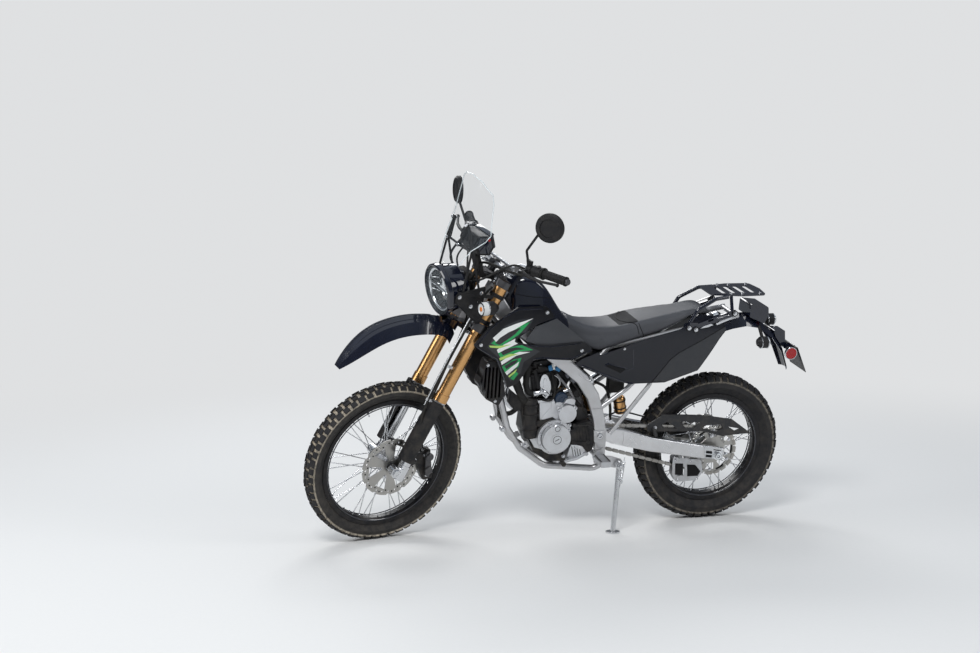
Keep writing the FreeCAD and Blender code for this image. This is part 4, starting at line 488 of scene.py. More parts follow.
def round_about(centre, radius, angle, y):
    """A point on a circle about an axle, its angle from straight ahead, upward."""
    return centre + Vector((radius * math.cos(angle), y, radius * math.sin(angle)))


def ring_rows(low, high, inner, outer):
    """A closed profile for a flat ring."""
    return [(low, inner), (low, outer), (high, outer), (high, inner), (low, inner)]


def puck_rows(low, high, radius):
    """The profile of a flat round piece."""
    return [(low, 0), (low, radius), (high, radius), (high, 0)]


def cap_rows(low, edge, high, radius, top_radius):
    """The profile of a round piece that narrows from an edge to its top."""
    return [(low, 0), (low, radius), (edge, radius), (high, top_radius), (high, 0)]


def join_rings(bm, low, high):
    """Faces between two rings of corners; a ring of one corner is a tip."""
    count = max(len(low), len(high))
    for index in range(count):
        corners = []
        after = (index + 1) % count
        for ring, place in ((low, index), (low, after), (high, after), (high, index)):
            corner = ring[place % len(ring)]
            if corner not in corners:
                corners.append(corner)
        if len(corners) > 2:
            bm.faces.new(corners)


def turned(bm, at, direction, profile, sides=24):
    """A round piece from rows of distance along the direction and radius."""
    place = facing(at, direction)
    rings = []
    for along, radius in profile:
        if radius <= 0:
            rings.append([bm.verts.new(place @ Vector((0, 0, along)))])
            continue
        ring = []
        for index in range(sides):
            angle = 2 * math.pi * index / sides
            spot = Vector((radius * math.cos(angle), radius * math.sin(angle), along))
            ring.append(bm.verts.new(place @ spot))
        rings.append(ring)
    for low, high in zip(rings, rings[1:]):
        join_rings(bm, low, high)


def rod(bm, start, end, radius, sides=16, bend=0.8):
    """A round bar with eased ends."""
    run = Vector(end) - Vector(start)
    long = run.length
    bend = min(bend, radius * 0.5, long * 0.3)
    rows = [(0, 0), (0, radius - bend), (bend, radius)]
    rows += [(long - bend, radius), (long, radius - bend), (long, 0)]
    turned(bm, start, run, rows, sides)


def block(bm, at, size, bevel=1.0, turn=None):
    """A box with eased edges about its middle."""
    place = Matrix.Translation(Vector(at)) @ (turn or Matrix()) @ Matrix.Diagonal((*size, 1.0))
    corners = bmesh.ops.create_cube(bm, size=1.0, matrix=place)["verts"]
    if bevel:
        edges = list(dict.fromkeys(edge for corner in corners for edge in corner.link_edges))
        bmesh.ops.bevel(bm, geom=edges, offset=bevel, segments=2, affect="EDGES", profile=0.6)


def slab(bm, outline, y_from, y_to, bevel=0.8):
    """A flat piece from an outline in the side view, with eased edges."""
    near = [bm.verts.new((x, y_to, z)) for x, z in outline]
    far = [bm.verts.new((x, y_from, z)) for x, z in outline]
    faces = [bm.faces.new(near), bm.faces.new(list(reversed(far)))]
    count = len(outline)
    for index in range(count):
        after = (index + 1) % count
        faces.append(bm.faces.new((near[after], near[index], far[index], far[after])))
    if bevel:
        rims = list(dict.fromkeys(edge for face in faces[:2] for edge in face.edges))
        bmesh.ops.bevel(bm, geom=rims, offset=bevel, segments=2, affect="EDGES", profile=0.6)


def side_slab(bm, outline, side, inner, outer, bevel=0.8):
    """A flat piece on one side, between two distances from the middle."""
    low, high = (inner, outer) if side > 0 else (-outer, -inner)
    slab(bm, outline, low, high, bevel)


def pierced_slab(bm, outline, windows, y_from, y_to):
    """A flat piece from an outline in the side view, with openings through it."""
    loops = [[Vector((x, 0.0, z)) for x, z in loop] for loop in (outline, *windows)]
    near, far = [], []
    for loop in loops:
        near_loop = [bm.verts.new((point.x, y_to, point.z)) for point in loop]
        far_loop = [bm.verts.new((point.x, y_from, point.z)) for point in loop]
        for index in range(len(loop)):
            after = (index + 1) % len(loop)
            bm.faces.new((near_loop[after], near_loop[index], far_loop[index], far_loop[after]))
        near += near_loop
        far += far_loop
    for corners in tessellate_polygon(loops):
        bm.faces.new([near[index] for index in corners])
        bm.faces.new([far[index] for index in reversed(corners)])


def smooth_route(points, step=6.0):
    """Points along one smooth curve through all the given ones, about a step apart."""
    points = [Vector(point) for point in points]
    padded = [points[0] * 2 - points[1], *points, points[-1] * 2 - points[-2]]
    route = []
    for a, b, c, d in zip(padded, padded[1:], padded[2:], padded[3:]):
        count = max(2, int((c - b).length / step))
        for index in range(count):
            t = index / count
            curve = 2 * b + (c - a) * t + (2 * a - 5 * b + 4 * c - d) * t**2 + (3 * b - a - 3 * c + d) * t**3
            route.append(0.5 * curve)
    route.append(points[-1])
    return route


def hose(bm, points, radius, sides=10, step=8.0):
    """A round hose or wire on a smooth curve through its points."""
    route = smooth_route(points, step)
    run = (route[1] - route[0]).normalized()
    across = run.orthogonal().normalized()
    rings = [[bm.verts.new(route[0])]]
    for index, point in enumerate(route):
        ahead = route[min(index + 1, len(route) - 1)] - route[max(index - 1, 0)]
        ahead.normalize()
        across = (across - ahead * across.dot(ahead)).normalized()
        other = ahead.cross(across)
        ring = []
        for side in range(sides):
            angle = 2 * math.pi * side / sides
            ring.append(bm.verts.new(point + (across * math.cos(angle) + other * math.sin(angle)) * radius))
        rings.append(ring)
    rings.append([bm.verts.new(route[-1])])
    for low, high in zip(rings, rings[1:]):
        join_rings(bm, low, high)


def bolt(bm, at, direction, radius, head="hex"):
    """A bolt head on a washer, its face turned along the direction."""
    direction = Vector(direction).normalized()
    washer = radius * 1.35
    turned(bm, at, direction, [(0, 0), (0, washer), (radius * 0.18, washer), (radius * 0.2, 0)], 20)
    base = Vector(at) + direction * radius * 0.18
    high = radius * 0.8
    if head == "hex":
        rows = [(0, 0), (0, radius), (high * 0.85, radius), (high, radius * 0.86), (high, 0)]
        turned(bm, base, direction, rows, 6)
        return
    rows = [(0, 0), (0, radius), (high * 0.85, radius), (high, radius * 0.9)]
    rows += [(high, radius * 0.55), (high * 0.4, radius * 0.5), (high * 0.4, 0)]
    turned(bm, base, direction, rows, 18)


def shapes(count):
    """Empty meshes to build in."""
    return [bmesh.new() for _ in range(count)]


def add_piece(name, bm, body, key, crease=32.0):
    """Turns what was built into a piece that rides on a body, with the finish of that key."""
    bmesh.ops.recalc_face_normals(bm, faces=bm.faces)
    mesh = bpy.data.meshes.new(name)
    bm.to_mesh(mesh)
    bm.free()
    mesh.transform(PLACES[body])
    mesh.shade_smooth()
    mesh.set_sharp_from_angle(angle=math.radians(crease))
    mesh.materials.append(FINISHES[key])
    piece = bpy.data.objects.new(name, mesh)
    bpy.context.scene.collection.objects.link(piece)
    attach(piece, body)
    return piece


TREES = {}


def tree_of(name, body):
    """The search tree of a carried-over piece, in the bike's own frame, made once."""
    if name not in TREES:
        back = PLACES[body].inverted()
        points = [back @ corner.co for corner in nodes[name].data.vertices]
        faces = [tuple(face.vertices) for face in nodes[name].data.polygons]
        TREES[name] = BVHTree.FromPolygons(points, faces)
    return TREES[name]


# How far from the middle a search for a surface starts, beyond every piece
SEARCH_START = 500.0
# A line along a surface stops where the surface comes nearer to the middle than this
MIDDLE_ZONE = 20.0


def side_hit(tree, x, z, side):
    """The point that a look from one side meets first, at a place in the side view, or none."""
    return tree.ray_cast(Vector((x, side * SEARCH_START, z)), Vector((0.0, -side, 0.0)))[0]


def top_hit(tree, x, y, height=1300.0):
    """The point that a look from above meets first, or none."""
    return tree.ray_cast(Vector((x, y, height)), Vector((0.0, 0.0, -1.0)))[0]


def outer_spot(name, body, x, z, side=1):
    """A point on the outer surface of a carried-over piece, at a place in the side view."""
    return side_hit(tree_of(name, body), x, z, side)


def laid_on(bm, tree, outline, side, proud, cell=8.0):
    """An outline in the side view, laid on the outer surface of a piece as a thin skin."""
    patch = bmesh.new()
    patch.faces.new([patch.verts.new((x, 0.0, z)) for x, z in outline])
    for axis, along in ((0, Vector((1, 0, 0))), (2, Vector((0, 0, 1)))):
        values = [point[0 if axis == 0 else 1] for point in outline]
        level = min(values) + cell
        while level < max(values):
            everything = patch.verts[:] + patch.edges[:] + patch.faces[:]
            bmesh.ops.bisect_plane(patch, geom=everything, plane_co=along * level, plane_no=along)
            level += cell
    bmesh.ops.triangulate(patch, faces=patch.faces[:])
    spots = {}
    for corner in patch.verts:
        start = Vector((corner.co.x, side * SEARCH_START, corner.co.z))
        hit, normal, _, _ = tree.ray_cast(start, Vector((0.0, -side, 0.0)))
        if hit is not None and hit.y * side > 0:
            out = normal if normal.y * side > 0 else -normal
            spots[corner] = bm.verts.new(hit + out * proud)
    for face in patch.faces:
        if all(corner in spots for corner in face.verts):
            corners = [spots[corner] for corner in face.verts]
            bm.faces.new(corners)
    patch.free()


def surface_line(bm, tree, points, side, radius, proud=0.0, line_sides=6, step=9.0):
    """A thin raised or dark line that follows a piece's outer surface between points of the side view."""
    route = []
    for (x0, z0), (x1, z1) in zip(points, points[1:]):
        count = max(2, int(math.hypot(x1 - x0, z1 - z0) / step))
        for index in range(count):
            share = index / count
            route.append((x0 + (x1 - x0) * share, z0 + (z1 - z0) * share))
    route.append(points[-1])
    runs = [[]]
    for x, z in route:
        hit = side_hit(tree, x, z, side)
        if hit is not None and hit.y * side > MIDDLE_ZONE:
            runs[-1].append(hit + SIDE * side * proud)
        else:
            runs.append([])
    for run in runs:
        if len(run) > 2:
            hose(bm, run, radius, line_sides, 12.0)


# Wheels

# Lugs between those of the carried-over tyres: length, low and high share of the half width, phases
TREAD_FILL = {
    "front_tyre": ((25, 0.06, 0.40, (1 / 3, 2 / 3)), (25, 0.50, 0.96, (1 / 6, 5 / 6))),
    "rear_tyre": ((20, 0.04, 0.36, (1 / 3, 2 / 3)), (20, 0.46, 0.94, (1 / 6, 5 / 6))),
}


def add_tread(name):
    """Lugs in the gaps of the tread, a little lower than the tyre's own."""
    body, centre, _, width, lug_height, _ = TYRES[name]
    bm = bmesh.new()
    for length, low_share, high_share, phases in TREAD_FILL[name]:
        low, high = low_share * width / 2, high_share * width / 2
        rows = [
            (crown_at(name, high) - lug_height * 0.6, low),
            (crown_at(name, low) + lug_height - 1.4, low + 1),
            (crown_at(name, high) + lug_height * 0.85 - 1.4, high),
            (crown_at(name, high) - lug_height * 0.6, high * 0.9),
        ]
        for index in range(TREAD_PITCHES):
            for phase in phases:
                for side in (-1, 1):
                    angle = -PITCH_ANGLE * (index + phase)
                    place = Matrix.Translation(centre) @ Matrix.Rotation(-angle, 4, "Y")
                    rings = []
                    for offset in (-length / 2, length / 2):
                        rings.append([bm.verts.new(place @ Vector((r, side * y, offset))) for r, y in rows])
                    join_rings(bm, *rings)
                    bm.faces.new(rings[0])
                    bm.faces.new(rings[1][::-1])
    bmesh.ops.bevel(bm, geom=bm.edges[:], offset=1.3, segments=1, affect="EDGES")
    add_piece(f"{name}_fill", bm, body, name)


VALVE_ANGLE = 1.2


def add_wheel_detail(name, body, centre, rim_radius, half_rim, count):
    """Spoke nipples, the rim's glossy edge, and the valve in its collar."""
    bright = bmesh.new()
    for index in range(count):
        angle = 2 * math.pi * (index + 0.25) / count
        side = 1 if index % 2 else -1
        outer = round_about(centre, rim_radius - 1, angle, side * 4)
        inner = round_about(centre, rim_radius - 15, angle, side * 9)
        rod(bright, outer, inner, 2.7, 8, 0.5)
    valve = [round_about(centre, rim_radius - drop, VALVE_ANGLE, 0) for drop in (2, 36)]
    rod(bright, *valve, 3.2, 12)
    add_piece(f"{name}_nipples", bright, body, "bright_steel")
    edge = bmesh.new()
    for side in (-1, 1):
        at = centre + SIDE * side * (half_rim + 0.2)
        turned(edge, at, SIDE * side, ring_rows(0, 1.2, rim_radius - 5.5, rim_radius - 1.0), 96)
    collar = [round_about(centre, rim_radius - drop, VALVE_ANGLE, 0) for drop in (4, 20)]
    rod(edge, *collar, 5.5, 12)
    add_piece(f"{name}_rim_edge", edge, body, "black_gloss")


def add_front_wheel_detail():
    """The front tread, nipples, hub ring, and the brake disc's bolts and holes."""
    add_tread("front_tyre")
    add_wheel_detail("front", "front_wheel", FRONT_AXLE, 262, 26, 36)
    bright, dark = shapes(2)
    for index in range(6):
        angle = 2 * math.pi * index / 6
        bolt(bright, round_about(FRONT_AXLE, 44, angle, 61), SIDE, 5.0, "cap")
    for index in range(24):
        angle = 2 * math.pi * (index + 0.5) / 24
        at = round_about(FRONT_AXLE, 112 if index % 2 else 103, angle, 61)
        turned(dark, at, SIDE, puck_rows(-0.3, 0.25, 3.6), 12)
    turned(dark, FRONT_AXLE + SIDE * 52, SIDE, ring_rows(0, 1.0, 22, 29), 36)
    add_piece("front_disc_bolts", bright, "front_wheel", "bright_steel")
    add_piece("front_disc_holes", dark, "front_wheel", "gap_shadow")


def add_rear_wheel_detail():
    """The rear tread, nipples, and the bolts and slots of the sprocket and the disc."""
    add_tread("rear_tyre")
    add_wheel_detail("rear", "rear_wheel", REAR_AXLE, 224, 33, 36)
    bright, dark = shapes(2)
    for index in range(6):
        angle = 2 * math.pi * (index + 0.5) / 6
        bolt(bright, round_about(REAR_AXLE, 88, angle, 66), SIDE, 5.6)
        middle = angle + math.pi / 6
        for step in range(-3, 4):
            at = round_about(REAR_AXLE, 93, middle + step * 0.055, 65.2)
            turned(dark, at, SIDE, puck_rows(0, 0.6, 4.2), 12)
    for index in range(6):
        angle = 2 * math.pi * index / 6
        bolt(bright, round_about(REAR_AXLE, 40, angle, -58), SIDE * -1, 5.0, "cap")
    add_piece("sprocket_bolts", bright, "rear_wheel", "bright_steel")
    add_piece("sprocket_slots", dark, "rear_wheel", "gap_shadow")


# Front end


def add_fork_detail():
    """Dust seals, clamp bolts, caps, and the brake line down the left leg."""
    seals, bolts = shapes(2)
    for side in (-1, 1):
        y = side * FORK_SPREAD
        turned(seals, on_fork(-449, FORK_OFFSET, y), FORK_UP, ring_rows(0, 14, 21.8, 26.5), 36)
        for up in (-108, -88, 92, 106):
            at = on_fork(up, FORK_OFFSET + 35, y - side * 14)
            bolt(bolts, at, FORK_AHEAD, 4.8, "cap")
        rows = [(0, 0), (0, 22), (4, 22), (6, 19), (6, 11), (10, 11), (10, 5), (8, 5), (8, 0)]
        turned(bolts, on_fork(134, FORK_OFFSET, y), FORK_UP, rows, 28)
        axle_end = at_front_axle(0, side * 116, 0)
        rows = [(0, 0), (0, 17), (5, 17), (7, 15), (7, 9), (1, 8.4), (1, 0)]
        turned(bolts, axle_end, SIDE * side, rows, 6)
        for rise in (-17, 17):
            bolt(bolts, at_front_axle(-25, side * 116, rise), SIDE * side, 4.5, "cap")
    add_piece("fork_seals", seals, "steering", "cast_alloy")
    add_piece("fork_bolts", bolts, "steering", "bright_steel")
    line, pipe = shapes(2)
    route = [(70, 70, 96), (20, 90, 104), (-120, 93, 108), (-300, 93, 108), (-470, 86, 106), (-560, 62, 112)]
    points = [on_fork(up, ahead, y) for up, ahead, y in route]
    hose(line, points + [at_front_axle(-118, 96, 96), at_front_axle(-150, 74, 62)], 4.6)
    hose(pipe, [point + FORK_AHEAD * 9.5 for point in points[1:5]], 2.6)
    add_piece("brake_line", line, "steering", "rubber")
    add_piece("brake_pipe", pipe, "steering", "bright_steel")
    clips = bmesh.new()
    for up in (-132, -290, -446):
        block(clips, on_fork(up, 78, 104), (44, 7, 12), 1.6, Matrix.Rotation(-RAKE, 4, "Y"))
        bolt(clips, on_fork(up, 70, 108), SIDE, 4.2)
    add_piece("line_clips", clips, "steering", "bright_steel")


def add_guard_and_caliper_detail():
    """Bolts on the fork guards and the brake caliper, and the caliper's hose fitting."""
    bolts = bmesh.new()
    for up, ahead in ((-560, 54), (-500, 58), (-680, 56)):
        for side in (-1, 1):
            at = on_fork(up, ahead, side * (FORK_SPREAD + 24))
            out = (SIDE * side * 0.7 + FORK_AHEAD * 0.7).normalized()
            bolt(bolts, at, out, 4.6, "cap")
    for x, z in ((-146, 40), (-164, -8), (-160, -52)):
        bolt(bolts, outer_spot("front_caliper", "steering", FRONT_AXLE.x + x, FRONT_AXLE.z + z), SIDE, 6.5)
    bolt(bolts, outer_spot("front_caliper", "steering", FRONT_AXLE.x - 100, FRONT_AXLE.z + 24), SIDE, 5.5)
    add_piece("guard_bolts", bolts, "steering", "bright_steel")
    body = bmesh.new()
    slab(body, [(1274, 414), (1290, 396), (1284, 300), (1266, 288), (1256, 330)], 76, 92, 3)
    for z in (382, 322):
        turned(body, (1271, 88, z), SIDE, cap_rows(0, 8, 10, 17, 14), 28)
    add_piece("caliper_pistons", body, "steering", "dark_alloy")


LAMP_AT = at_head(219, 0, 66)
LAMP_AHEAD = Vector((math.cos(math.radians(8)), 0.0, -math.sin(math.radians(8))))


def add_headlight_detail():
    """A dark bowl with a bright ring and ribs behind the lens, and a bright seam round the shell."""
    place = facing(LAMP_AT, LAMP_AHEAD)
    bowl = bmesh.new()
    turned(bowl, LAMP_AT, LAMP_AHEAD, [(-60, 0), (-60, 40), (-46, 66), (-20, 84), (-5, 92), (-4, 96)], 48)
    add_piece("headlight_bowl", bowl, "steering", "lamp_bowl", 60)
    bright = bmesh.new()
    turned(bright, LAMP_AT, LAMP_AHEAD, [(-8, 78), (-3, 79), (-1, 84), (-2, 89), (-9, 90), (-8, 78)], 64)
    rows = [(-58, 0), (-58, 38), (-50, 44), (-34, 46), (-30, 42), (-36, 36), (-40, 22), (-34, 12), (-30, 0)]
    turned(bright, LAMP_AT, LAMP_AHEAD, rows, 40)
    for side in (-1, 1):
        for step in (-1, 0, 1):
            near = place @ Vector((side * 44, step * 30, -30))
            far = place @ Vector((side * 80, step * 24, -9))
            rod(bright, near, far, 3.4, 8)
    rod(bright, place @ Vector((-76, 0, -14)), place @ Vector((76, 0, -14)), 5.0, 10)
    add_piece("headlight_reflector", bright, "steering", "mirror_bright", 60)
    trim = bmesh.new()
    turned(trim, LAMP_AT, LAMP_AHEAD, ring_rows(7.6, 9.4, 97.2, 101), 72)
    turned(trim, LAMP_AT, LAMP_AHEAD, ring_rows(-14, -12.6, 101, 106.4), 72)
    add_piece("headlight_ring", trim, "steering", "dark_alloy")
    vents = bmesh.new()
    for row in range(3):
        for side in (-1, 1):
            for turn_by in range(-3, 4):
                angle = turn_by * 0.09 + (0.0 if side > 0 else math.pi)
                spot = place @ Vector((0, 0, -40 - row * 11))
                around = place.to_3x3() @ Vector((math.cos(angle), math.sin(angle), 0))
                radius = 96.5 - row * 1.8
                block(vents, spot + around * radius, (3.5, 8.4, 4.2), 0.4, facing((0, 0, 0), around))
    add_piece("headlight_vents", vents, "steering", "gap_shadow")


SCREEN_OUTLINE = (
    # Y and Z from the head
    (0, 150), (50, 158), (76, 190), (105, 258), (140, 304), (149, 332),
    (138, 402), (130, 455), (118, 488), (62, 526), (0, 536),
)
SCREEN_FOOT = at_head(199, 0, 188)
SCREEN_TOP = at_head(115, 0, 533)
SCREEN_CURVE = 200.0
SCREEN_RUN = (SCREEN_TOP - SCREEN_FOOT).normalized()
SCREEN_OUT = Vector((SCREEN_RUN.z, 0.0, -SCREEN_RUN.x))
SCREEN_AXIS = SCREEN_FOOT - SCREEN_OUT * SCREEN_CURVE
# Distance up the screen from its foot, and to either side
SCREEN_BOLTS = ((167, 56), (84, 43))


def on_screen(y, z, outward=0.0):
    """A point on the windshield's outer face at a height above the head."""
    depth = math.sqrt((SCREEN_CURVE + outward) ** 2 - y**2)
    rise = (HEAD.z + z - SCREEN_AXIS.z - SCREEN_OUT.z * depth) / SCREEN_RUN.z
    return SCREEN_AXIS + SCREEN_RUN * rise + SCREEN_OUT * depth + SIDE * y


def add_screen_detail():
    """A painted highlight along the windshield's edge, as a pale, mostly opaque tube, and its bolts on
    rubber washers.
    """
    half = [(float(y), float(z)) for y, z in SCREEN_OUTLINE if z > 180]
    around = half + [(-y, z) for y, z in reversed(half[:-1])]
    dense = []
    for (y0, z0), (y1, z1) in zip(around, around[1:]):
        for step in range(4):
            share = step / 4
            dense.append((y0 + (y1 - y0) * share, z0 + (z1 - z0) * share))
    dense.append(around[-1])
    # Painted highlight: a pale tube just inside the screen's edge, where light shows in the clear plastic
    edge = bmesh.new()
    hose(edge, [on_screen(y, z, -1.5) for y, z in dense], 2.0, 6, 9.0)
    add_piece("screen_painted_edge_highlight", edge, "steering", "painted_edge_highlight", 60)
    bolts, washers = shapes(2)
    for rise, y in SCREEN_BOLTS:
        for side in (-1, 1):
            out = (SCREEN_OUT * math.sqrt(SCREEN_CURVE**2 - y**2) + SIDE * side * y) / SCREEN_CURVE
            at = SCREEN_AXIS + SCREEN_RUN * rise + out * SCREEN_CURVE
            turned(washers, at, out, puck_rows(0, 1.6, 9), 20)
            bolt(bolts, at + out * 1.6, out, 5.0, "cap")
            bolt(bolts, at - out * 11, out * -1, 5.4)
    add_piece("screen_bolts", bolts, "steering", "bright_steel")
    add_piece("screen_washers", washers, "steering", "rubber")


# Engine


def oval(x, z, half_long, half_wide, lean=0.155, count=20):
    """An oval outline in the side view, its long axis leaning ahead as the cylinder does."""
    along = Vector((math.sin(lean), math.cos(lean)))
    across = Vector((along.y, -along.x))
    outline = []
    for index in range(count):
        angle = 2 * math.pi * index / count
        spot = along * half_long * math.cos(angle) + across * half_wide * math.sin(angle)
        outline.append((x + spot.x, z + spot.y))
    return outline


def add_engine_castings():
    """The bright castings on the left side, with their bosses and bolts."""
    cast = bmesh.new()
    slab(cast, [(803, 590), (738, 594), (730, 538), (740, 528), (796, 506)], 60, 93, 4)
    slab(cast, [(754, 597), (738, 596), (731, 538), (745, 531)], 88, 97, 3)
    slab(cast, [(812, 600), (742, 604), (738, 594), (806, 588)], 56, 90, 2)
    arm = [(706, 583), (693, 605), (668, 610), (652, 599), (656, 577), (668, 586), (690, 592)]
    slab(cast, arm, 78, 108, 2.5)
    turned(cast, (735, 96, 492), SIDE, [(0, 0), (0, 18), (44, 18), (47, 15.5), (48, 0)], 32)
    for x, z in ((672, 494), (722, 566), (652, 566)):
        turned(cast, (x, 78, z), SIDE, [(0, 0), (0, 10), (34, 9), (36, 7.5), (36, 0)], 20)
    foot = [(666, 413), (640, 409), (615, 402), (603, 386), (591, 367), (612, 358), (637, 352), (683, 351)]
    slab(cast, foot, 78, 126, 3)
    slab(cast, [(828, 470), (800, 446), (776, 384), (812, 396), (838, 440)], 76, 92, 3)
    add_piece("engine_castings", cast, "chassis", "engine_alloy")

    head = bmesh.new()
    slab(head, oval(778, 658, 54, 23), 58, 82, 5)
    slab(head, oval(778, 658, 36, 10), 80, 86, 3)
    add_piece("head_plug_cover", head, "chassis", "bright_steel")

    bolts = bmesh.new()
    for index in range(8):
        angle = 2 * math.pi * (index + 0.4) / 8
        at = Vector((733 + 67 * math.cos(angle), 112, 443 + 67 * math.sin(angle)))
        bolt(bolts, at, SIDE, 4.4)
    for x, z in ((672, 494), (722, 566), (652, 566)):
        bolt(bolts, (x, 114, z), SIDE, 5.2)
    for x, z in ((696, 364), (678, 353)):
        bolt(bolts, (x, 126, z), SIDE, 6.0)
    for x, z in ((648, 398), (605, 372)):
        bolt(bolts, (x, 126, z), SIDE, 4.6, "cap")
    for x, z in ((824, 432), (824, 516), (606, 553)):
        bolt(bolts, outer_spot("crankcase", "chassis", x, z), SIDE, 4.8)
    for x, z in ((798, 740), (744, 746), (806, 614), (748, 618)):
        bolt(bolts, outer_spot("cylinder", "chassis", x, z), SIDE, 5.0)
    add_piece("engine_bolts", bolts, "chassis", "bright_steel")

    grooves = bmesh.new()
    turned(grooves, (733, 141.6, 443), SIDE, ring_rows(0, 0.9, 16.5, 18.5), 36)
    block(grooves, (733, 142, 443), (20, 1.2, 3.0), 0.3, Matrix.Rotation(0.5, 4, "Y"))
    turned(grooves, (735, 143.7, 492), SIDE, ring_rows(0, 0.8, 9.5, 11.5), 28)
    turned(grooves, (733, 111.8, 443), SIDE, ring_rows(0, 0.8, 60, 62), 64)
    turned(grooves, (733, 78, 443), SIDE, ring_rows(0, 2.2, 73.6, 75.6), 64)
    for shift in (0, 12, 24, 36):
        slab(grooves, [(664 - shift, 405 - shift * 0.4), (661 - shift, 405 - shift * 0.4),
                       (650 - shift * 0.9, 362), (653 - shift * 0.9, 362)], 125.6, 126.6, 0)
    slab(grooves, [(808, 604), (742, 608), (742, 604), (808, 600)], 60, 91, 0)
    add_piece("engine_grooves", grooves, "chassis", "gap_shadow")


def add_engine_dark_parts():
    """The starter, the canister ahead of the cylinder and the black blocks between them."""
    starter = bmesh.new()
    rows = [(0, 0), (0, 26), (6, 30), (62, 30), (66, 27), (70, 26), (72, 12), (76, 11), (76, 0)]
    turned(starter, (707, 22, 600), SIDE, rows, 36)
    add_piece("starter", starter, "chassis", "starter_blue")

    dark = bmesh.new()
    turned(dark, (838, 74, 604), (-0.06, 0.0, -1.0),
           [(0, 0), (0, 24), (5, 29), (150, 31), (166, 28), (168, 0)], 32)
    for drop in (22, 62, 128):
        at = Vector((838 - 0.06 * drop, 74, 604 - drop))
        turned(dark, at, (-0.06, 0.0, -1.0), ring_rows(0, 7, 29, 33.5), 32)
    slab(dark, [(925, 646), (876, 604), (876, 556), (906, 560), (930, 590)], 44, 84, 4)
    slab(dark, [(812, 512), (744, 528), (722, 512), (744, 494), (790, 488), (814, 492)], 76, 100, 3)
    slab(dark, [(744, 592), (706, 590), (716, 560), (738, 540)], 60, 88, 3)
    rod(dark, (824, 62, 726), (804, 74, 648), 11, 20)
    rod(dark, (812, 66, 738), (742, 66, 724), 9, 16)
    slab(dark, [(744, 726), (690, 716), (668, 672), (688, 628), (736, 616), (748, 660)], 40, 62, 6)
    rod(dark, (722, 52, 690), (690, 78, 660), 14, 20)
    rod(dark, (640, 30, 640), (640, 92, 622), 18, 20)
    slab(dark, [(640, 570), (600, 560), (584, 520), (604, 500), (640, 506)], 60, 96, 6)
    add_piece("engine_dark_parts", dark, "chassis", "black_plastic")

    ribs = bmesh.new()
    for shift in range(5):
        x = 646 - shift * 13
        rib = [(x, 492 - shift * 2), (x - 4, 492 - shift * 2), (x - 16, 424), (x - 12, 424)]
        slab(ribs, rib, 119.5, 123, 0.8)
    slab(ribs, [(666, 498), (590, 498), (584, 490), (660, 490)], 119, 124, 1.2)
    slab(ribs, [(662, 424), (584, 420), (584, 412), (662, 416)], 119, 124, 1.2)
    for x, z in ((656, 494), (588, 486), (592, 418), (654, 420)):
        turned(ribs, (x, 118, z), SIDE, cap_rows(0, 6, 7, 8, 7), 20)
    add_piece("sprocket_cover_ribs", ribs, "chassis", "black_plastic")


# radius, sides, and the points that it runs through
ENGINE_HOSES = (
    (12.5, 16, (846, 60, 742), (856, 64, 700), (858, 68, 660), (846, 72, 632), (818, 74, 626)),
    (3.6, 10, (804, 84, 604), (770, 92, 598), (744, 90, 606), (738, 86, 640), (746, 82, 680),
     (752, 72, 716)),
    (2.4, 10, (756, 74, 716), (738, 80, 700), (732, 84, 670), (740, 82, 640)),
    (3.0, 10, (724, 74, 716), (716, 82, 690), (700, 84, 650), (706, 80, 628)),
    (8.0, 12, (900, 66, 700), (884, 70, 660), (872, 72, 620), (870, 72, 560), (858, 72, 500),
     (850, 66, 460)),
    (10.0, 14, (906, -66, 470), (930, -40, 500), (916, 10, 520), (906, 50, 540), (884, 70, 570)),
    (4.0, 10, (664, 84, 672), (640, 96, 640), (622, 98, 600), (614, 96, 560), (590, 92, 520)),
    (4.2, 10, (740, 74, 610), (716, 80, 640), (690, 84, 650)),
    (6.0, 10, (1010, 36, 930), (950, 46, 870), (900, 50, 800), (870, 40, 760), (840, 30, 740)),
)


def add_engine_hoses():
    """Coolant, fuel and breather hoses with their fittings."""
    rubber = bmesh.new()
    for radius, sides, *points in ENGINE_HOSES:
        hose(rubber, points, radius, sides)
    add_piece("engine_hoses", rubber, "chassis", "rubber")

    grey = bmesh.new()
    hose(grey, [(736, 86, 712), (706, 88, 676), (678, 90, 640), (652, 92, 598)], 4.6, 12)
    add_piece("breather_pipe", grey, "chassis", "pipe_grey")

    bright = bmesh.new()
    hose(bright, [(824, 76, 627), (806, 82, 632), (788, 84, 636), (770, 80, 622)], 11.0, 18)
    for x, z in ((826, 627), (790, 636)):
        turned(bright, (x, 76, z), (-1, 0.1, 0.1), ring_rows(0, 7, 12.0, 14.5), 28)
    bolt(bright, (800, 92, 640), SIDE, 6.0)
    bolt(bright, (776, 90, 616), SIDE, 5.0)
    hose(bright, [(742, 82, 704), (724, 86, 690), (716, 84, 668), (722, 80, 650)], 2.2)
    add_piece("coolant_fitting", bright, "chassis", "bright_steel")

    gold = bmesh.new()
    rod(gold, (716, 64, 646), (682, 66, 640), 8, 16)
    turned(gold, (700, 56, 668), SIDE, cap_rows(0, 12, 13, 11, 9), 24)
    add_piece("carburettor_brass", gold, "chassis", "bronze")


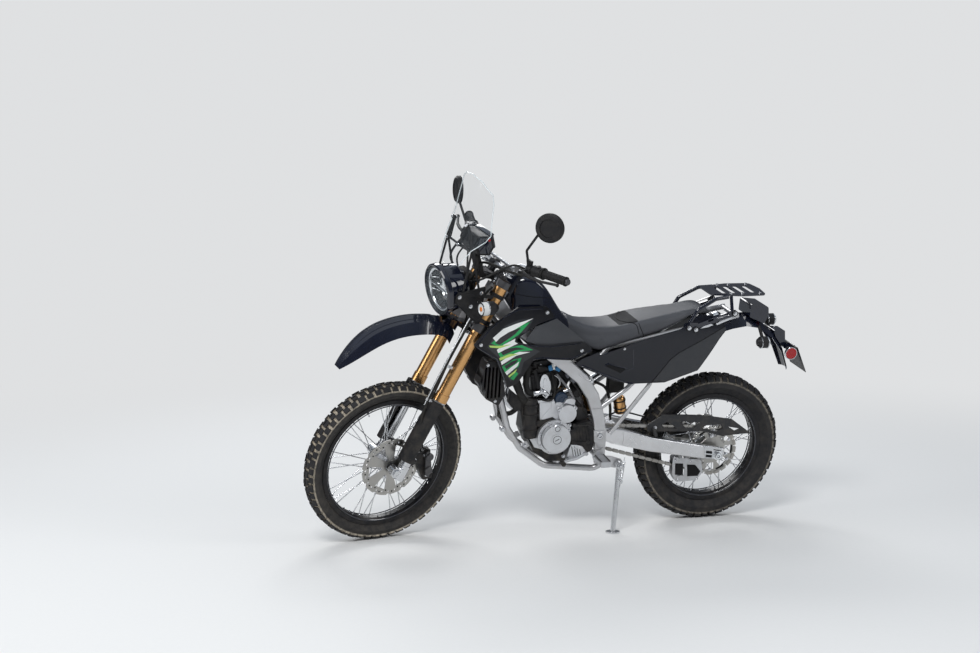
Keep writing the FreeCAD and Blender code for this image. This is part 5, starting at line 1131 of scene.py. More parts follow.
def add_plugs():
    """Electric plugs above the engine: two blue, one white, and two grey boxes."""
    turn = Matrix.Rotation(0.3, 4, "Y")
    blue = bmesh.new()
    block(blue, (761, 76, 734), (15, 12, 22), 2.0, turn)
    block(blue, (728, 76, 730), (22, 12, 18), 2.0, Matrix.Rotation(-0.5, 4, "Y"))
    add_piece("plugs_blue", blue, "chassis", "blue_plug")
    white = bmesh.new()
    block(white, (748, 76, 740), (9, 13, 26), 1.5, turn)
    add_piece("plug_white", white, "chassis", "shard_white")
    grey = bmesh.new()
    block(grey, (684, 84, 704), (22, 14, 20), 2.0, Matrix.Rotation(0.6, 4, "Y"))
    block(grey, (660, 88, 684), (22, 14, 24), 2.0, Matrix.Rotation(0.6, 4, "Y"))
    add_piece("relay_boxes", grey, "chassis", "relay_grey")


def add_frame_detail():
    """The pivot plate and its bolt, welds across the spars, and engine mounts."""
    plate, welds, bolts = shapes(3)
    for side in (-1, 1):
        side_slab(plate, [(569, 469), (525, 468), (519, 408), (541, 398), (564, 420)], side, 116, 126, 2.0)
        turned(plate, at_pivot(2, side * 124, 0), SIDE * side, cap_rows(0, 4, 5.5, 19, 17), 36)
        rows = [(0, 0), (0, 13), (6, 13), (8, 11), (8, 7), (3, 6.5), (3, 0)]
        turned(bolts, at_pivot(2, side * 129, 0), SIDE * side, rows, 6)
        for start, end in (((652, 716), (610, 690)), ((606, 566), (536, 566)), ((566, 388), (500, 388))):
            points = []
            for step in range(9):
                share = step / 8
                x = start[0] + (end[0] - start[0]) * share
                z = start[1] + (end[1] - start[1]) * share
                hit = outer_spot("main_frame", "chassis", x, z, side)
                if hit is not None and abs(hit.y) > 90:
                    points.append(hit + SIDE * side * 0.3)
            if len(points) > 2:
                hose(welds, points, 2.2, 8, 3.0)
        for x, z in ((846, 398), (700, 320)):
            mount = [(x + 24, z + 6), (x - 8, z + 18), (x - 22, z - 4), (x + 4, z - 20)]
            side_slab(plate, mount, side, 60, 66, 1.5)
            bolt(bolts, (x, side * 66, z), SIDE * side, 7.5)
        bolt(bolts, (949, side * 76, 477), SIDE * side, 8.0)
        rod(plate, (949, side * 58, 477), (949, side * 76, 477), 11)
        bolt(bolts, outer_spot("main_frame", "chassis", 596, 685, side), SIDE * side, 8.0)
        bolt(bolts, outer_spot("main_frame", "chassis", 512, 322, side), SIDE * side, 7.0)
    add_piece("frame_plates", plate, "chassis", "silver_paint")
    add_piece("frame_welds", welds, "chassis", "silver_paint")
    add_piece("frame_bolts", bolts, "chassis", "bright_steel")


# Body panels

# An angular pattern of its own: long shards that fan up and ahead from the panel's low tip
SHARDS = (
    ("shard_panel", ((1066, 866), (1040, 905), (992, 948), (935, 968), (868, 972), (905, 915), (930, 884),
                     (886, 858), (838, 834), (905, 792), (912, 742), (950, 706), (982, 752), (1016, 818))),
    ("shard_green", ((1050, 880), (1010, 862), (930, 912), (886, 958), (952, 940), (1004, 918))),
    ("shard_green", ((1020, 842), (1000, 806), (930, 838), (868, 842), (920, 866), (972, 858))),
    ("shard_green", ((996, 778), (976, 744), (926, 772), (916, 812), (950, 806))),
    ("shard_green", ((954, 722), (938, 712), (922, 742), (934, 752))),
    ("shard_white", ((1044, 902), (1030, 886), (960, 926), (872, 971), (950, 952), (1000, 936))),
    ("shard_white", ((1024, 852), (1018, 838), (950, 868), (908, 884), (948, 894), (996, 872))),
    ("shard_white", ((1004, 800), (998, 786), (940, 822), (880, 834), (928, 838), (966, 826))),
    ("shard_white", ((980, 752), (970, 738), (930, 776), (924, 796), (952, 776))),
    ("shard_black", ((1034, 880), (1014, 872), (950, 912), (924, 938), (976, 922), (1012, 902))),
    ("shard_black", ((1008, 842), (996, 828), (946, 846), (900, 848), (944, 858), (984, 854))),
    ("shard_black", ((986, 780), (976, 766), (938, 790), (930, 806), (958, 798))),
    ("shard_lime", ((1058, 872), (1054, 864), (1012, 858), (962, 872), (1012, 868))),
    ("shard_lime", ((1012, 816), (1007, 806), (958, 822), (930, 828), (968, 832))),
    ("shard_lime", ((964, 734), (959, 727), (936, 748), (930, 764), (948, 748))),
)


def add_shards():
    """The pattern on both shrouds, each shard a little proud of the one before."""
    tree = tree_of("tank_shrouds", "chassis")
    for side in (-1, 1):
        made = {}
        for rank, (key, outline) in enumerate(SHARDS):
            if key not in made:
                made[key] = bmesh.new()
            laid_on(made[key], tree, outline, side, 0.35 + 0.05 * rank, 14.0)
        name = "left" if side > 0 else "right"
        for key, bm in made.items():
            add_piece(f"{name}_{key}", bm, "chassis", key)


COVER_SPLIT = ((12, 893), (110, 845), (219, 795), (258, 767), (300, 712), (338, 660))
COVER_LOW_PANEL = COVER_SPLIT + ((271, 667), (124, 713), (41, 842), (6, 884))

# Raised edges of the panels: node, radius, how far it stands proud, and its points in the side view
PANEL_LIPS = (
    ("side_covers", 2.6, 0.6, (553, 761), (536, 768), (500, 754), (453, 742)),
    ("side_covers", 3.4, -0.6, (655, 768), (567, 728), (446, 677), (386, 664), (344, 664)),
    ("side_covers", 2.2, -0.4, (560, 808), (387, 868), (207, 914), (130, 938)),
    ("side_covers", 2.0, -0.6, (430, 822), (424, 742), (452, 732)),
    ("tank_shrouds", 2.6, -0.6, (1112, 872), (1052, 940), (988, 984), (936, 1006), (830, 1006)),
    ("tank_shrouds", 2.6, -0.6, (1108, 868), (1022, 814), (966, 690)),
    ("tank_shrouds", 2.4, -0.6, (866, 802), (826, 805), (700, 792), (612, 824)),
    ("tank_shrouds", 2.2, -0.6, (890, 862), (798, 850), (660, 857)),
)


def add_panel_detail():
    """The split line and duct of the side covers, the tank's creases and the panels' screws."""
    covers = tree_of("side_covers", "chassis")
    shrouds = tree_of("tank_shrouds", "chassis")
    tank = tree_of("fuel_tank", "chassis")
    lines, ducts, lips, lows, screws, washers = shapes(6)
    for side in (-1, 1):
        laid_on(lows, covers, COVER_LOW_PANEL, side, 0.5, 16.0)
        surface_line(lines, covers, COVER_SPLIT, side, 1.7, 0.2)
        duct = ((553, 759), (536, 766), (500, 752), (455, 741), (480, 722), (504, 735))
        laid_on(ducts, covers, duct, side, 0.7, 14.0)
        for node, radius, proud, *points in PANEL_LIPS:
            surface_line(lips, tree_of(node, "chassis"), points, side, radius, proud)
        surface_line(lines, tank, ((926, 1050), (865, 1042), (800, 1036), (770, 1030)), side, 1.4, 0.0)
        for x, z in ((655, 826), (1092, 876), (812, 990)):
            hit = side_hit(shrouds, x, z, side)
            if hit is not None:
                turned(washers, hit, SIDE * side, cap_rows(-1, 0.8, 1.4, 11, 10), 28)
                bolt(screws, hit + SIDE * side * 1.2, SIDE * side, 5.2, "cap")
        for x, z in ((470, 826), (120, 900)):
            hit = side_hit(covers, x, z, side)
            if hit is not None:
                turned(washers, hit, SIDE * side, cap_rows(-1, 0.6, 1.0, 8, 7.4), 24)
                bolt(screws, hit + SIDE * side * 0.8, SIDE * side, 4.0, "cap")
    add_piece("cover_split_lines", lines, "chassis", "gap_shadow")
    add_piece("cover_ducts", ducts, "chassis", "gap_shadow")
    add_piece("panel_lips", lips, "chassis", "black_gloss")
    add_piece("cover_low_panels", lows, "chassis", "grey_satin")
    add_piece("panel_washers", washers, "chassis", "black_plastic")
    add_piece("panel_screws", screws, "chassis", "bright_steel")


def add_tank_cap():
    """The filler cap on the tank's top, and the ring round it."""
    hit = top_hit(tree_of("fuel_tank", "chassis"), 868.0, 0.0, 1400.0)
    cap = bmesh.new()
    turned(cap, hit - Vector((0, 0, 6)), (0.08, 0, 1), cap_rows(0, 9, 11, 40, 38), 40)
    add_piece("tank_cap_ring", cap, "chassis", "black_metal")
    lid = bmesh.new()
    turned(lid, hit, (0.08, 0, 1), [(3, 0), (3, 33), (12, 33), (15, 30), (16, 10), (16, 0)], 40)
    block(lid, hit + Vector((4, 0, 17)), (34, 9, 5), 2.0)
    add_piece("tank_cap", lid, "chassis", "dark_alloy")


# The seat

# Where the seat's grey sides meet its black top, in the side view from the front to the back
SEAT_LINE = (
    (779, 1013), (710, 957), (625, 922), (542, 907), (470, 906),
    (398, 920), (364, 936), (240, 956), (124, 979),
)
# Metres: the cover's cells, how far its start lies inside the seat, and how far the foam may swell it
COVER_CELL = 0.006
COVER_INSET = 0.003
COVER_SWELL = 0.007
SWELL_PRESSURE = 4.0
SWELL_FRAMES = 20


def seat_level(x):
    """The height of the line between the seat's grey sides and its black top."""
    rows = SEAT_LINE[::-1]
    if x <= rows[0][0]:
        return rows[0][1]
    for (x0, z0), (x1, z1) in zip(rows, rows[1:]):
        if x <= x1:
            return z0 + (z1 - z0) * (x - x0) / (x1 - x0)
    return rows[-1][1]


def evaluated_mesh(piece):
    """A copy of a piece's mesh as its modifiers leave it."""
    return bpy.data.meshes.new_from_object(piece.evaluated_get(bpy.context.evaluated_depsgraph_get()))


def add_seat():
    """The padded seat: its foam's shape swells under the cover, and the seams are sewn on after."""
    scene = bpy.context.scene
    body = "chassis"
    back = PLACES[body].inverted()
    cover = bpy.data.objects.new("seat_cover", nodes["seat"].data.copy())
    cover.matrix_world = nodes["seat"].matrix_world.copy()
    scene.collection.objects.link(cover)
    remesh = cover.modifiers.new("remesh", "REMESH")
    remesh.mode = "VOXEL"
    remesh.voxel_size = COVER_CELL
    smooth = cover.modifiers.new("smooth", "SMOOTH")
    smooth.iterations = 4
    bpy.context.view_layer.update()
    mesh = evaluated_mesh(cover)
    cover.modifiers.clear()
    cover.data = mesh
    for corner, normal in zip(mesh.vertices, [corner.normal.copy() for corner in mesh.vertices]):
        corner.co -= normal * COVER_INSET
    start = [corner.co.copy() for corner in mesh.vertices]
    cloth = cover.modifiers.new("cloth", "CLOTH")
    cloth.settings.use_pressure = True
    cloth.settings.uniform_pressure_force = SWELL_PRESSURE
    cloth.settings.effector_weights.gravity = 0.0
    cloth.point_cache.frame_start = 1
    cloth.point_cache.frame_end = SWELL_FRAMES
    for number in range(1, SWELL_FRAMES + 1):
        scene.frame_set(number)
    swollen = evaluated_mesh(cover)
    cover.modifiers.clear()
    scene.frame_set(1)
    for corner, was, now in zip(mesh.vertices, start, swollen.vertices):
        move = now.co - was
        move.length = min(move.length, COVER_SWELL)
        corner.co = was + move
    bpy.data.meshes.remove(swollen)
    divide = cover.modifiers.new("divide", "SUBSURF")
    divide.levels = 1
    divide.render_levels = 1
    mesh = evaluated_mesh(cover)
    cover.modifiers.clear()
    cover.data = mesh
    mesh.materials.clear()
    for key in ("seat_side", "seat_top"):
        mesh.materials.append(FINISHES[key])
    place = back @ cover.matrix_world
    points = [place @ corner.co for corner in mesh.vertices]
    for face in mesh.polygons:
        middle = sum((points[index] for index in face.vertices), Vector()) / len(face.vertices)
        face.material_index = 1 if middle.z > seat_level(middle.x) else 0
        face.use_smooth = True
    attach(cover, body)
    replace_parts(cover, "seat")
    tree = BVHTree.FromPolygons(points, [tuple(face.vertices) for face in mesh.polygons])
    seams = bmesh.new()
    for side in (-1, 1):
        surface_line(seams, tree, [(x, z + 1) for x, z in SEAT_LINE[1:-1]], side, 1.3, -0.2, 8)
    across = []
    for step in range(-15, 16):
        y = step * 7.0
        share = abs(y) / 105
        x = 455 - 60 * share**2
        hit = top_hit(tree, x, y)
        if hit is not None:
            across.append(hit + Vector((0, 0, 0.2)))
    hose(seams, across, 1.8, 8, 6.0)
    for side in (-1, 1):
        points = [(398, 930), (391, 905), (380, 880), (372, 862)]
        surface_line(seams, tree, points, side, 1.8, 0.2, 8)
    add_piece("seat_seams", seams, body, "thread")


# Cockpit

BAR_CENTRE = on_fork(146, 12)
GRIP_OUTER = Vector((-62, 395, 80))
GRIP_INNER = Vector((18, 168, 70))
BAR_END = BAR_CENTRE + GRIP_OUTER
GRIP_RUN = (GRIP_INNER - GRIP_OUTER).normalized()


def along_bar(distance, drop=0.0, ahead=0.0):
    """A point measured inward along the left grip from the bar's end."""
    return BAR_END + GRIP_RUN * distance + Vector((ahead, 0, -drop))


def add_grips_and_switches():
    """Grip ribs, bar ends, switch housings with their bolts and buttons, lever ends and the fluid cap."""
    ribs, dark, bright, buttons = shapes(4)
    for side in (-1, 1):
        turn = (lambda point: point) if side > 0 else flipped
        run = turn(GRIP_RUN)
        for step in range(13):
            at = turn(along_bar(14 + step * 7.5))
            turned(ribs, at, run, [(0, 15.8), (0, 17.4), (4.2, 17.4), (4.2, 15.8), (0, 15.8)], 24)
        for angle in range(0, 360, 30):
            lift = Vector((math.cos(math.radians(angle)), 0, math.sin(math.radians(angle)))) * 17.0
            rod(ribs, turn(along_bar(12) + lift), turn(along_bar(108) + lift), 0.9, 6)
        turned(bright, turn(along_bar(0.5)), run * -1, [(0, 0), (0, 13), (9, 12), (12, 9), (12, 0)], 24)
        turned(dark, turn(along_bar(143)), run, ring_rows(-0.7, 0.7, 21, 22.6), 28)
        for at, size in ((along_bar(136, -20, 6), (16, 12, 8)), (along_bar(152, -18, -10), (12, 12, 8))):
            block(dark, turn(at), size, 1.5)
        block(buttons, turn(along_bar(130, -8, -20)), (7, 11, 9), 1.5)
        bolt(bright, turn(along_bar(184, -15, 6)), (0, 0, 1), 5.0)
        bolt(bright, turn(along_bar(184, -2, 19)), (1, 0, 0), 4.4, "cap")
        tip = turn(along_bar(-8, 6, 50))
        turned(dark, tip - run * 7, run, [(0, 0), (1, 5), (4, 8), (8, 8), (11, 5), (12, 0)], 16)
        lever = [turn(along_bar(*spot)) for spot in ((176, 2, 42), (120, 8, 61), (60, 10, 63))]
        hose(dark, lever, 6.4, 8)
    cap = flipped(along_bar(184, -36, 34))
    turned(bright, cap, (0, 0, 1), cap_rows(-1, 3, 5, 19, 17), 28)
    for turn_by in (0.8, 2.4, 4.0, 5.5):
        spot = cap + Vector((13 * math.cos(turn_by), 13 * math.sin(turn_by), 5))
        bolt(bright, spot, (0, 0, 1), 2.2, "cap")
    add_piece("grip_ribs", ribs, "steering", "grip_rubber")
    add_piece("switch_detail", dark, "steering", "black_plastic")
    add_piece("bar_bolts", bright, "steering", "dark_alloy")
    add_piece("switch_buttons", buttons, "steering", "red_lens")


def add_mirror_detail():
    """The glass and the rim of each mirror, and the ball joint on its stem."""
    glass, rims, nuts = shapes(3)
    foot = along_bar(184)
    mirrors = (
        (at_head(-52, 330, 416), Vector((0.79, 0.6, 0.1)), at_head(-35, 280, 371), foot),
        (at_head(-14, -330, 356), Vector((0.96, -0.26, -0.02)), at_head(-22, -300, 289), flipped(foot)),
    )
    back_rows = [(0, 36), (0, 50), (5.5, 48.5), (8, 40), (8.6, 36), (0, 36)]
    for centre, face, knee, foot in mirrors:
        face.normalize()
        turned(glass, centre - face * 8.6, face * -1, cap_rows(0, 0.9, 1.3, 52.5, 51.5), 48)
        turned(rims, centre - face * 8, face * -1, ring_rows(-1, 3.0, 53.2, 57.2), 48)
        turned(rims, centre + face * 4, face, back_rows, 48)
        joint = centre + (knee - centre).normalized() * 34 + face * 4
        turned(rims, joint - face * 3, face, cap_rows(0, 8, 12, 12, 9), 20)
        rod(nuts, foot + Vector((0, 0, 1)), foot + Vector((0, 0, 11)), 10.5, 6)
        rod(rims, foot + Vector((0, 0, 11)), foot + Vector((-1, 0, 34)), 9.0, 16)
    add_piece("mirror_glass", glass, "steering", "mirror_bright")
    add_piece("mirror_rims", rims, "steering", "black_plastic")
    add_piece("mirror_nuts", nuts, "steering", "black_metal")


def add_cockpit_lines():
    """Cables and hoses from the handlebar down behind the headlight."""
    lines = bmesh.new()
    left = along_bar(196, 0, 12)
    right = flipped(left)
    for start, radius, *route in (
        ([left, left + Vector((46, -30, 6))], 4.2,
         (96, 130, 150), (104, 66, 112), (84, 38, 60), (78, 32, 30)),
        ([right, right + Vector((48, 26, 10))], 4.6,
         (104, -130, 160), (120, -40, 120), (110, 34, 60), (92, 70, 40)),
        ([right + Vector((-6, 6, -6))], 3.8,
         (60, -150, 140), (84, -70, 92), (80, -38, 50), (78, -32, 30)),
        ([along_bar(150, 18, 10), along_bar(230, 30, 20)], 5.0,
         (40, 30, 175), (86, 46, 150), (110, 44, 110), (92, 30, 60)),
        ([], 6.0, (66, 20, 210), (80, 44, 160), (96, 40, 110)),
        ([], 5.0, (108, 24, 130), (140, 40, 140), (132, 20, 100)),
    ):
        hose(lines, [*start, *(at_head(*spot) for spot in route)], radius)
    block(lines, at_head(96, 0, 70), (52, 70, 60), 8.0)
    block(lines, at_head(104, 0, 128), (34, 88, 26), 6.0)
    add_piece("cockpit_lines", lines, "steering", "rubber")
    bright = bmesh.new()
    for side in (-1, 1):
        at = BAR_CENTRE + SIDE * side * 48
        for ahead in (-17, 17):
            spot = at + FORK_AHEAD * ahead + FORK_UP * 16
            bolt(bright, spot, FORK_UP, 5.0, "cap")
        turned(bright, BAR_CENTRE + Vector((9, side * 122, 37)), SIDE * side, puck_rows(0, 14, 10), 20)
        for ahead, up in ((100, -30), (46, 62)):
            bolt(bright, on_fork(up, ahead, side * 60), SIDE * side, 4.6)
    turned(bright, on_fork(124, 0), FORK_UP, cap_rows(0, 5, 6, 17, 15), 6)
    add_piece("clamp_bolts", bright, "steering", "bright_steel")


def add_instrument_detail():
    """The dial's glass and hood, a warning lamp, and marks on the dial."""
    face = Matrix.Rotation(math.radians(16.9), 4, "Y")
    middle = at_head(28, 0, 272)
    glass = bmesh.new()
    block(glass, middle + Vector((-0.6, 0, 0.2)), (1.6, 100, 38), 0.6, face)
    add_piece("dial_glass", glass, "steering", "dial_glass")
    hood = bmesh.new()
    for y in (-57, 57):
        block(hood, middle + Vector((-3, y, 0)), (10, 8, 52), 2.5, face)
    block(hood, middle + Vector((7, 0, 27)), (20, 122, 6), 2.5, face)
    block(hood, middle + Vector((-8, 0, -26)), (10, 122, 6), 2.5, face)
    for side in (1, -1):
        cheek = [(1122, 1304), (1074, 1299), (1062, 1262), (1076, 1234), (1114, 1238), (1130, 1268)]
        side_slab(hood, cheek, side, 60, 66, 2.5)
    add_piece("dial_hood", hood, "steering", "black_gloss")
    lamp = bmesh.new()
    turned(lamp, (1078, 64, 1292), SIDE, [(0, 0), (0, 5.5), (3, 5.5), (5, 3.5), (5.6, 0)], 20)
    add_piece("warning_lamp", lamp, "steering", "red_lens")
    dots = bmesh.new()
    for y in (-36, -12, 12, 36):
        block(dots, middle + Vector((-1.6, y, -12)), (0.8, 9, 4), 0.2, face)
    block(dots, middle + Vector((-1.2, 0, 6)), (0.8, 70, 16), 0.2, face)
    add_piece("dial_marks", dots, "steering", "relay_grey")


def add_bracket_detail():
    """Bolts and raised rims on the headlight's side brackets."""
    bolts, rims = shapes(2)
    for side in (-1, 1):
        for x, z in ((1216, 1085), (1162, 1040), (1120, 1092)):
            at = Vector((x, side * 111, z))
            turned(rims, at, SIDE * side, cap_rows(-1, 1.6, 2.6, 13, 11.5), 28)
            bolt(bolts, at + SIDE * side * 2.4, SIDE * side, 6.0)
        outline = [(1104, 1112), (1228, 1094), (1229, 1064), (1132, 966), (1108, 984), (1108, 1060)]
        route = [Vector((x, side * 111.2, z)) for x, z in outline + outline[:1]]
        for start, end in zip(route, route[1:]):
            rod(rims, start, end, 2.4, 8)
        for up in (40, -75):
            for shift in (4, 12):
                at = on_fork(up + shift - 2, FORK_OFFSET, side * FORK_SPREAD)
                turned(rims, at, FORK_UP, ring_rows(0, 2.4, 28, 31.5), 36)
            bolt(bolts, on_fork(up + 8, FORK_OFFSET + 24, side * (FORK_SPREAD - 22)), FORK_AHEAD, 4.4, "cap")
    add_piece("bracket_bolts", bolts, "steering", "bright_steel")
    add_piece("bracket_rims", rims, "steering", "black_metal")


def add_front_signal_detail():
    """Black backs and bright rings of the front signals, with an orange bulb behind the glass."""
    backs, rings, bulbs = shapes(3)
    for side in (-1, 1):
        face = at_head(119, side * 176, 41)
        ahead = Vector((1, 0, 0))
        turned(backs, face - ahead * 24, ahead * -1,
               [(0, 27.3), (30, 27.3), (47, 14.3), (48, 13), (48, 0)], 36)
        rod(backs, (face.x - 26, side * 112, face.z), face - Vector((26, side * 20, 0)), 9.0, 20)
        turned(rings, face - ahead * 26, ahead, ring_rows(0, 4, 26.9, 28.6), 40)
        turned(rings, face - ahead * 0.6, ahead, ring_rows(0, 2.2, 22, 27.6), 40)
        turned(bulbs, face, ahead, [(0, 0), (0, 9), (2.2, 9), (3.4, 6), (3.6, 0)], 20)
    add_piece("front_signal_backs", backs, "steering", "black_plastic")
    add_piece("front_signal_rings", rings, "steering", "bright_steel")
    add_piece("front_signal_bulbs", bulbs, "steering", "signal_amber")


def add_fender_detail():
    """Screws and a stiffening crease on the front fender."""
    tree = tree_of("front_fender", "steering")
    above = HEAD.z + 200
    screws = bmesh.new()
    for x, y in ((150, 26), (150, -26), (196, 26), (196, -26)):
        hit = top_hit(tree, HEAD.x + x, y, above)
        if hit is not None:
            bolt(screws, hit, (0.1, 0, 1), 5.0, "cap")
    crease = bmesh.new()
    for y in (-26, 26):
        run = []
        for step in range(26):
            hit = top_hit(tree, HEAD.x + 230 + step * 15, y * (1 - step * 0.018), above)
            if hit is not None:
                run.append(hit)
        hose(crease, run, 1.8, 8, 10.0)
    add_piece("fender_screws", screws, "steering", "dark_alloy")
    add_piece("fender_creases", crease, "steering", "black_gloss")


# Rear


def add_swingarm_detail():
    """The chain adjusters, axle nuts and welds of the swingarm."""
    blocks, bright, gaps, welds = shapes(4)
    for side in (-1, 1):
        adjuster = [(62, 374), (22, 368), (-22, 358), (-27, 309), (20, 313), (58, 321)]
        side_slab(blocks, adjuster, side, 122, 128, 1.5)
        for slot in (
            [(54, 352), (27, 348), (25, 336), (54, 340)],
            [(54, 334), (26, 330), (25, 319), (54, 323)],
            [(20, 356), (-14, 351), (-14, 347), (20, 352)],
        ):
            side_slab(gaps, slot, side, 127.6, 128.6, 0)
        turned(bright, at_rear_axle(0, side * 128, 0), SIDE * side, puck_rows(0, 2.4, 20), 32)
        rows = [(0, 0), (0, 15), (10, 15), (12, 13), (12, 8), (6, 7.4), (6, 0)]
        turned(bright, at_rear_axle(0, side * 130, 0), SIDE * side, rows, 6)
        rod(bright, (-22, side * 116, 330), (-52, side * 116, 328), 4, 14)
        turned(bright, (-34, side * 116, 329), (-1, 0, 0), puck_rows(0, 7, 8), 6)
        tree = tree_of("swingarm", "chassis")
        surface_line(welds, tree, ((62, 376), (60, 350), (58, 320)), side, 2.2, 0.0, 8, 4.0)
        surface_line(welds, tree, ((430, 455), (424, 420), (428, 392)), side, 2.2, 0.0, 8, 4.0)
    add_piece("adjuster_blocks", blocks, "chassis", "bright_steel")
    add_piece("rear_axle_nuts", bright, "chassis", "mirror_bright")
    add_piece("adjuster_slots", gaps, "chassis", "gap_shadow")
    add_piece("swingarm_welds", welds, "chassis", "brushed_alloy")


GUARD_OUTLINE = (
    (309, 463), (249, 500), (60, 486), (-81, 460), (-166, 400),
    (-120, 398), (-42, 392), (60, 420), (307, 432),
)
GUARD_SHELF = (
    (249, 500), (60, 486), (-81, 460), (-166, 400), (-166, 404), (-83, 464), (58, 490), (249, 504),
)
GUARD_WINDOWS = (
    ((245, 460), (221, 472), (194, 456), (174, 438), (235, 444)),
    ((163, 470), (66, 462), (100, 434), (134, 437)),
    ((60, 436), (38, 447), (-28, 446), (-42, 428), (-8, 414), (30, 422)),
    ((-60, 436), (-118, 424), (-94, 414)),
)
GUIDE_WINDOWS = (
    ((168, 281), (131, 278), (127, 224), (164, 229)),
    ((112, 272), (75, 269), (47, 238), (58, 217), (107, 218)),
)


def add_chain_guard():
    """The chain guard with its large windows, in place of the carried-over one."""
    bm = bmesh.new()
    pierced_slab(bm, GUARD_OUTLINE, GUARD_WINDOWS, 71, 74)
    slab(bm, GUARD_SHELF, 62, 74, 0)
    rod(bm, at_rear_axle(280, 74, 118), at_rear_axle(280, 108, 92), 8)
    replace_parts(add_piece("chain_guard_pierced", bm, "chassis", "guard_grey"), "chain_guard")


def add_chain_detail():
    """Rims round the windows of the chain guard, dark fields in the chain guide, and their bolts."""
    shades, rims, bolts = shapes(3)
    for outline in GUARD_WINDOWS:
        loop = [Vector((x, 73.6, z)) for x, z in outline + outline[:1]]
        for start, end in zip(loop, loop[1:]):
            rod(rims, start, end, 1.3, 6, 0.3)
    for outline in GUIDE_WINDOWS:
        slab(shades, outline, 75.6, 76.8, 0)
    for x, z in ((276, 447), (10, 398)):
        turned(bolts, (x, 74, z), SIDE, puck_rows(0, 3, 9), 24)
        bolt(bolts, (x, 77, z), SIDE, 6.4)
    for x, z in ((166, 296), (96, 289), (150, 206), (60, 206)):
        bolt(bolts, (x, 76, z), SIDE, 4.4, "cap")
    add_piece("chain_windows", shades, "chassis", "gap_shadow")
    add_piece("chain_guard_rims", rims, "chassis", "guard_grey")
    add_piece("chain_bolts", bolts, "chassis", "bright_steel")


def add_rack_detail():
    """Painted highlights along the glossy black rack as bright metal slivers, screws on the rack, and its
    feet on the subframe.
    """
    painted_highlights, bolts, pads = shapes(3)
    for side in (-1, 1):
        # Painted highlights: tapered bright slivers where the black rack catches the light
        for highlight_outline in (
            [(60, 911), (54, 904), (-14, 931), (-24, 937), (-10, 938)],
            [(128, 892), (96, 896), (70, 905), (82, 911), (112, 902)],
        ):
            side_slab(painted_highlights, highlight_outline, side, 113.6, 115.6, 0.6)
        for x, z in ((179, 896), (148, 888), (-22, 952)):
            turned(pads, (x, side * 113.5, z), SIDE * side, cap_rows(0, 5, 6, 13, 12), 28)
            bolt(bolts, (x, side * 119, z), SIDE * side, 6.4)
        for x in (-18, -70, -150):
            spot = top_hit(tree_of("rear_rack", "chassis"), x, side * 72)
            if spot is not None:
                bolt(bolts, spot, (0, 0, 1), 5.4, "cap")
    add_piece("rack_painted_highlights", painted_highlights, "chassis", "bright_steel")
    add_piece("rack_bolts", bolts, "chassis", "bright_steel")
    add_piece("rack_pads", pads, "chassis", "black_metal")


def add_tail_detail():
    """The rear lamp's red lens, the signals' lenses, the plate's blank face and the reflector's rim."""
    lens = bmesh.new()
    slab(lens, [(-176, 892), (-190, 886), (-206, 920), (-203, 951), (-192, 957), (-176, 959)], -53, 53, 5)
    add_piece("tail_lens", lens, "chassis", "red_lens")
    ribs = bmesh.new()
    for y in range(-45, 46, 10):
        block(ribs, (-206.5, y, 924), (2.6, 4, 50), 0.8, Matrix.Rotation(-0.12, 4, "Y"))
    add_piece("tail_lens_ribs", ribs, "chassis", "red_lens")
    lenses, rings = shapes(2)
    lens_rows = [(0, 0), (0, 23.4), (3, 22.8), (9, 16.6), (9.4, 12), (9.4, 0)]
    for x, y, z in ((-711, 110, 373), (-842, -110, 405)):
        spot = at_pivot(x, y, z)
        back = Vector((-1, 0, 0))
        turned(lenses, spot + back * 15.6, back, lens_rows, 36)
        turned(rings, spot + back * 13, back, ring_rows(0, 3.4, 23, 26), 36)
        turned(rings, spot - back * 13, back * -1, ring_rows(0, 2.2, 23.4, 25.8), 36)
    add_piece("rear_signal_lenses", lenses, "chassis", "signal")
    add_piece("rear_signal_rings", rings, "chassis", "bright_steel")
    plate = bmesh.new()
    top = at_pivot(-893, 0, 330)
    low = at_pivot(-945, 0, 218)
    run = (top - low).normalized()
    out = Vector((-run.z, 0, run.x))
    turn = Matrix.Rotation(math.atan2(run.x, run.z), 4, "Y")
    block(plate, (top + low) / 2 + out * 1.4, (1.0, 142, 116), 0.3, turn)
    add_piece("plate_face", plate, "chassis", "plate_blank")
    screws = bmesh.new()
    for y in (-52, 52):
        bolt(screws, top * 0.9 + low * 0.1 + out * 2.0 + SIDE * y, out, 4.4, "cap")
    reflector = at_pivot(-866, 68, 306)
    turned(screws, reflector + SIDE * 0.5, SIDE, ring_rows(0, 6.2, 25.1, 27.2), 44)
    add_piece("plate_screws", screws, "chassis", "bright_steel")
    facets = bmesh.new()
    for radius, count in ((6, 6), (13, 12), (20, 18)):
        for index in range(count):
            angle = 2 * math.pi * index / count
            at = reflector + Vector((radius * math.cos(angle), 6, radius * math.sin(angle)))
            turned(facets, at, SIDE, [(0, 3.0), (1.0, 0)], 6)
    add_piece("reflector_facets", facets, "chassis", "red_lens")


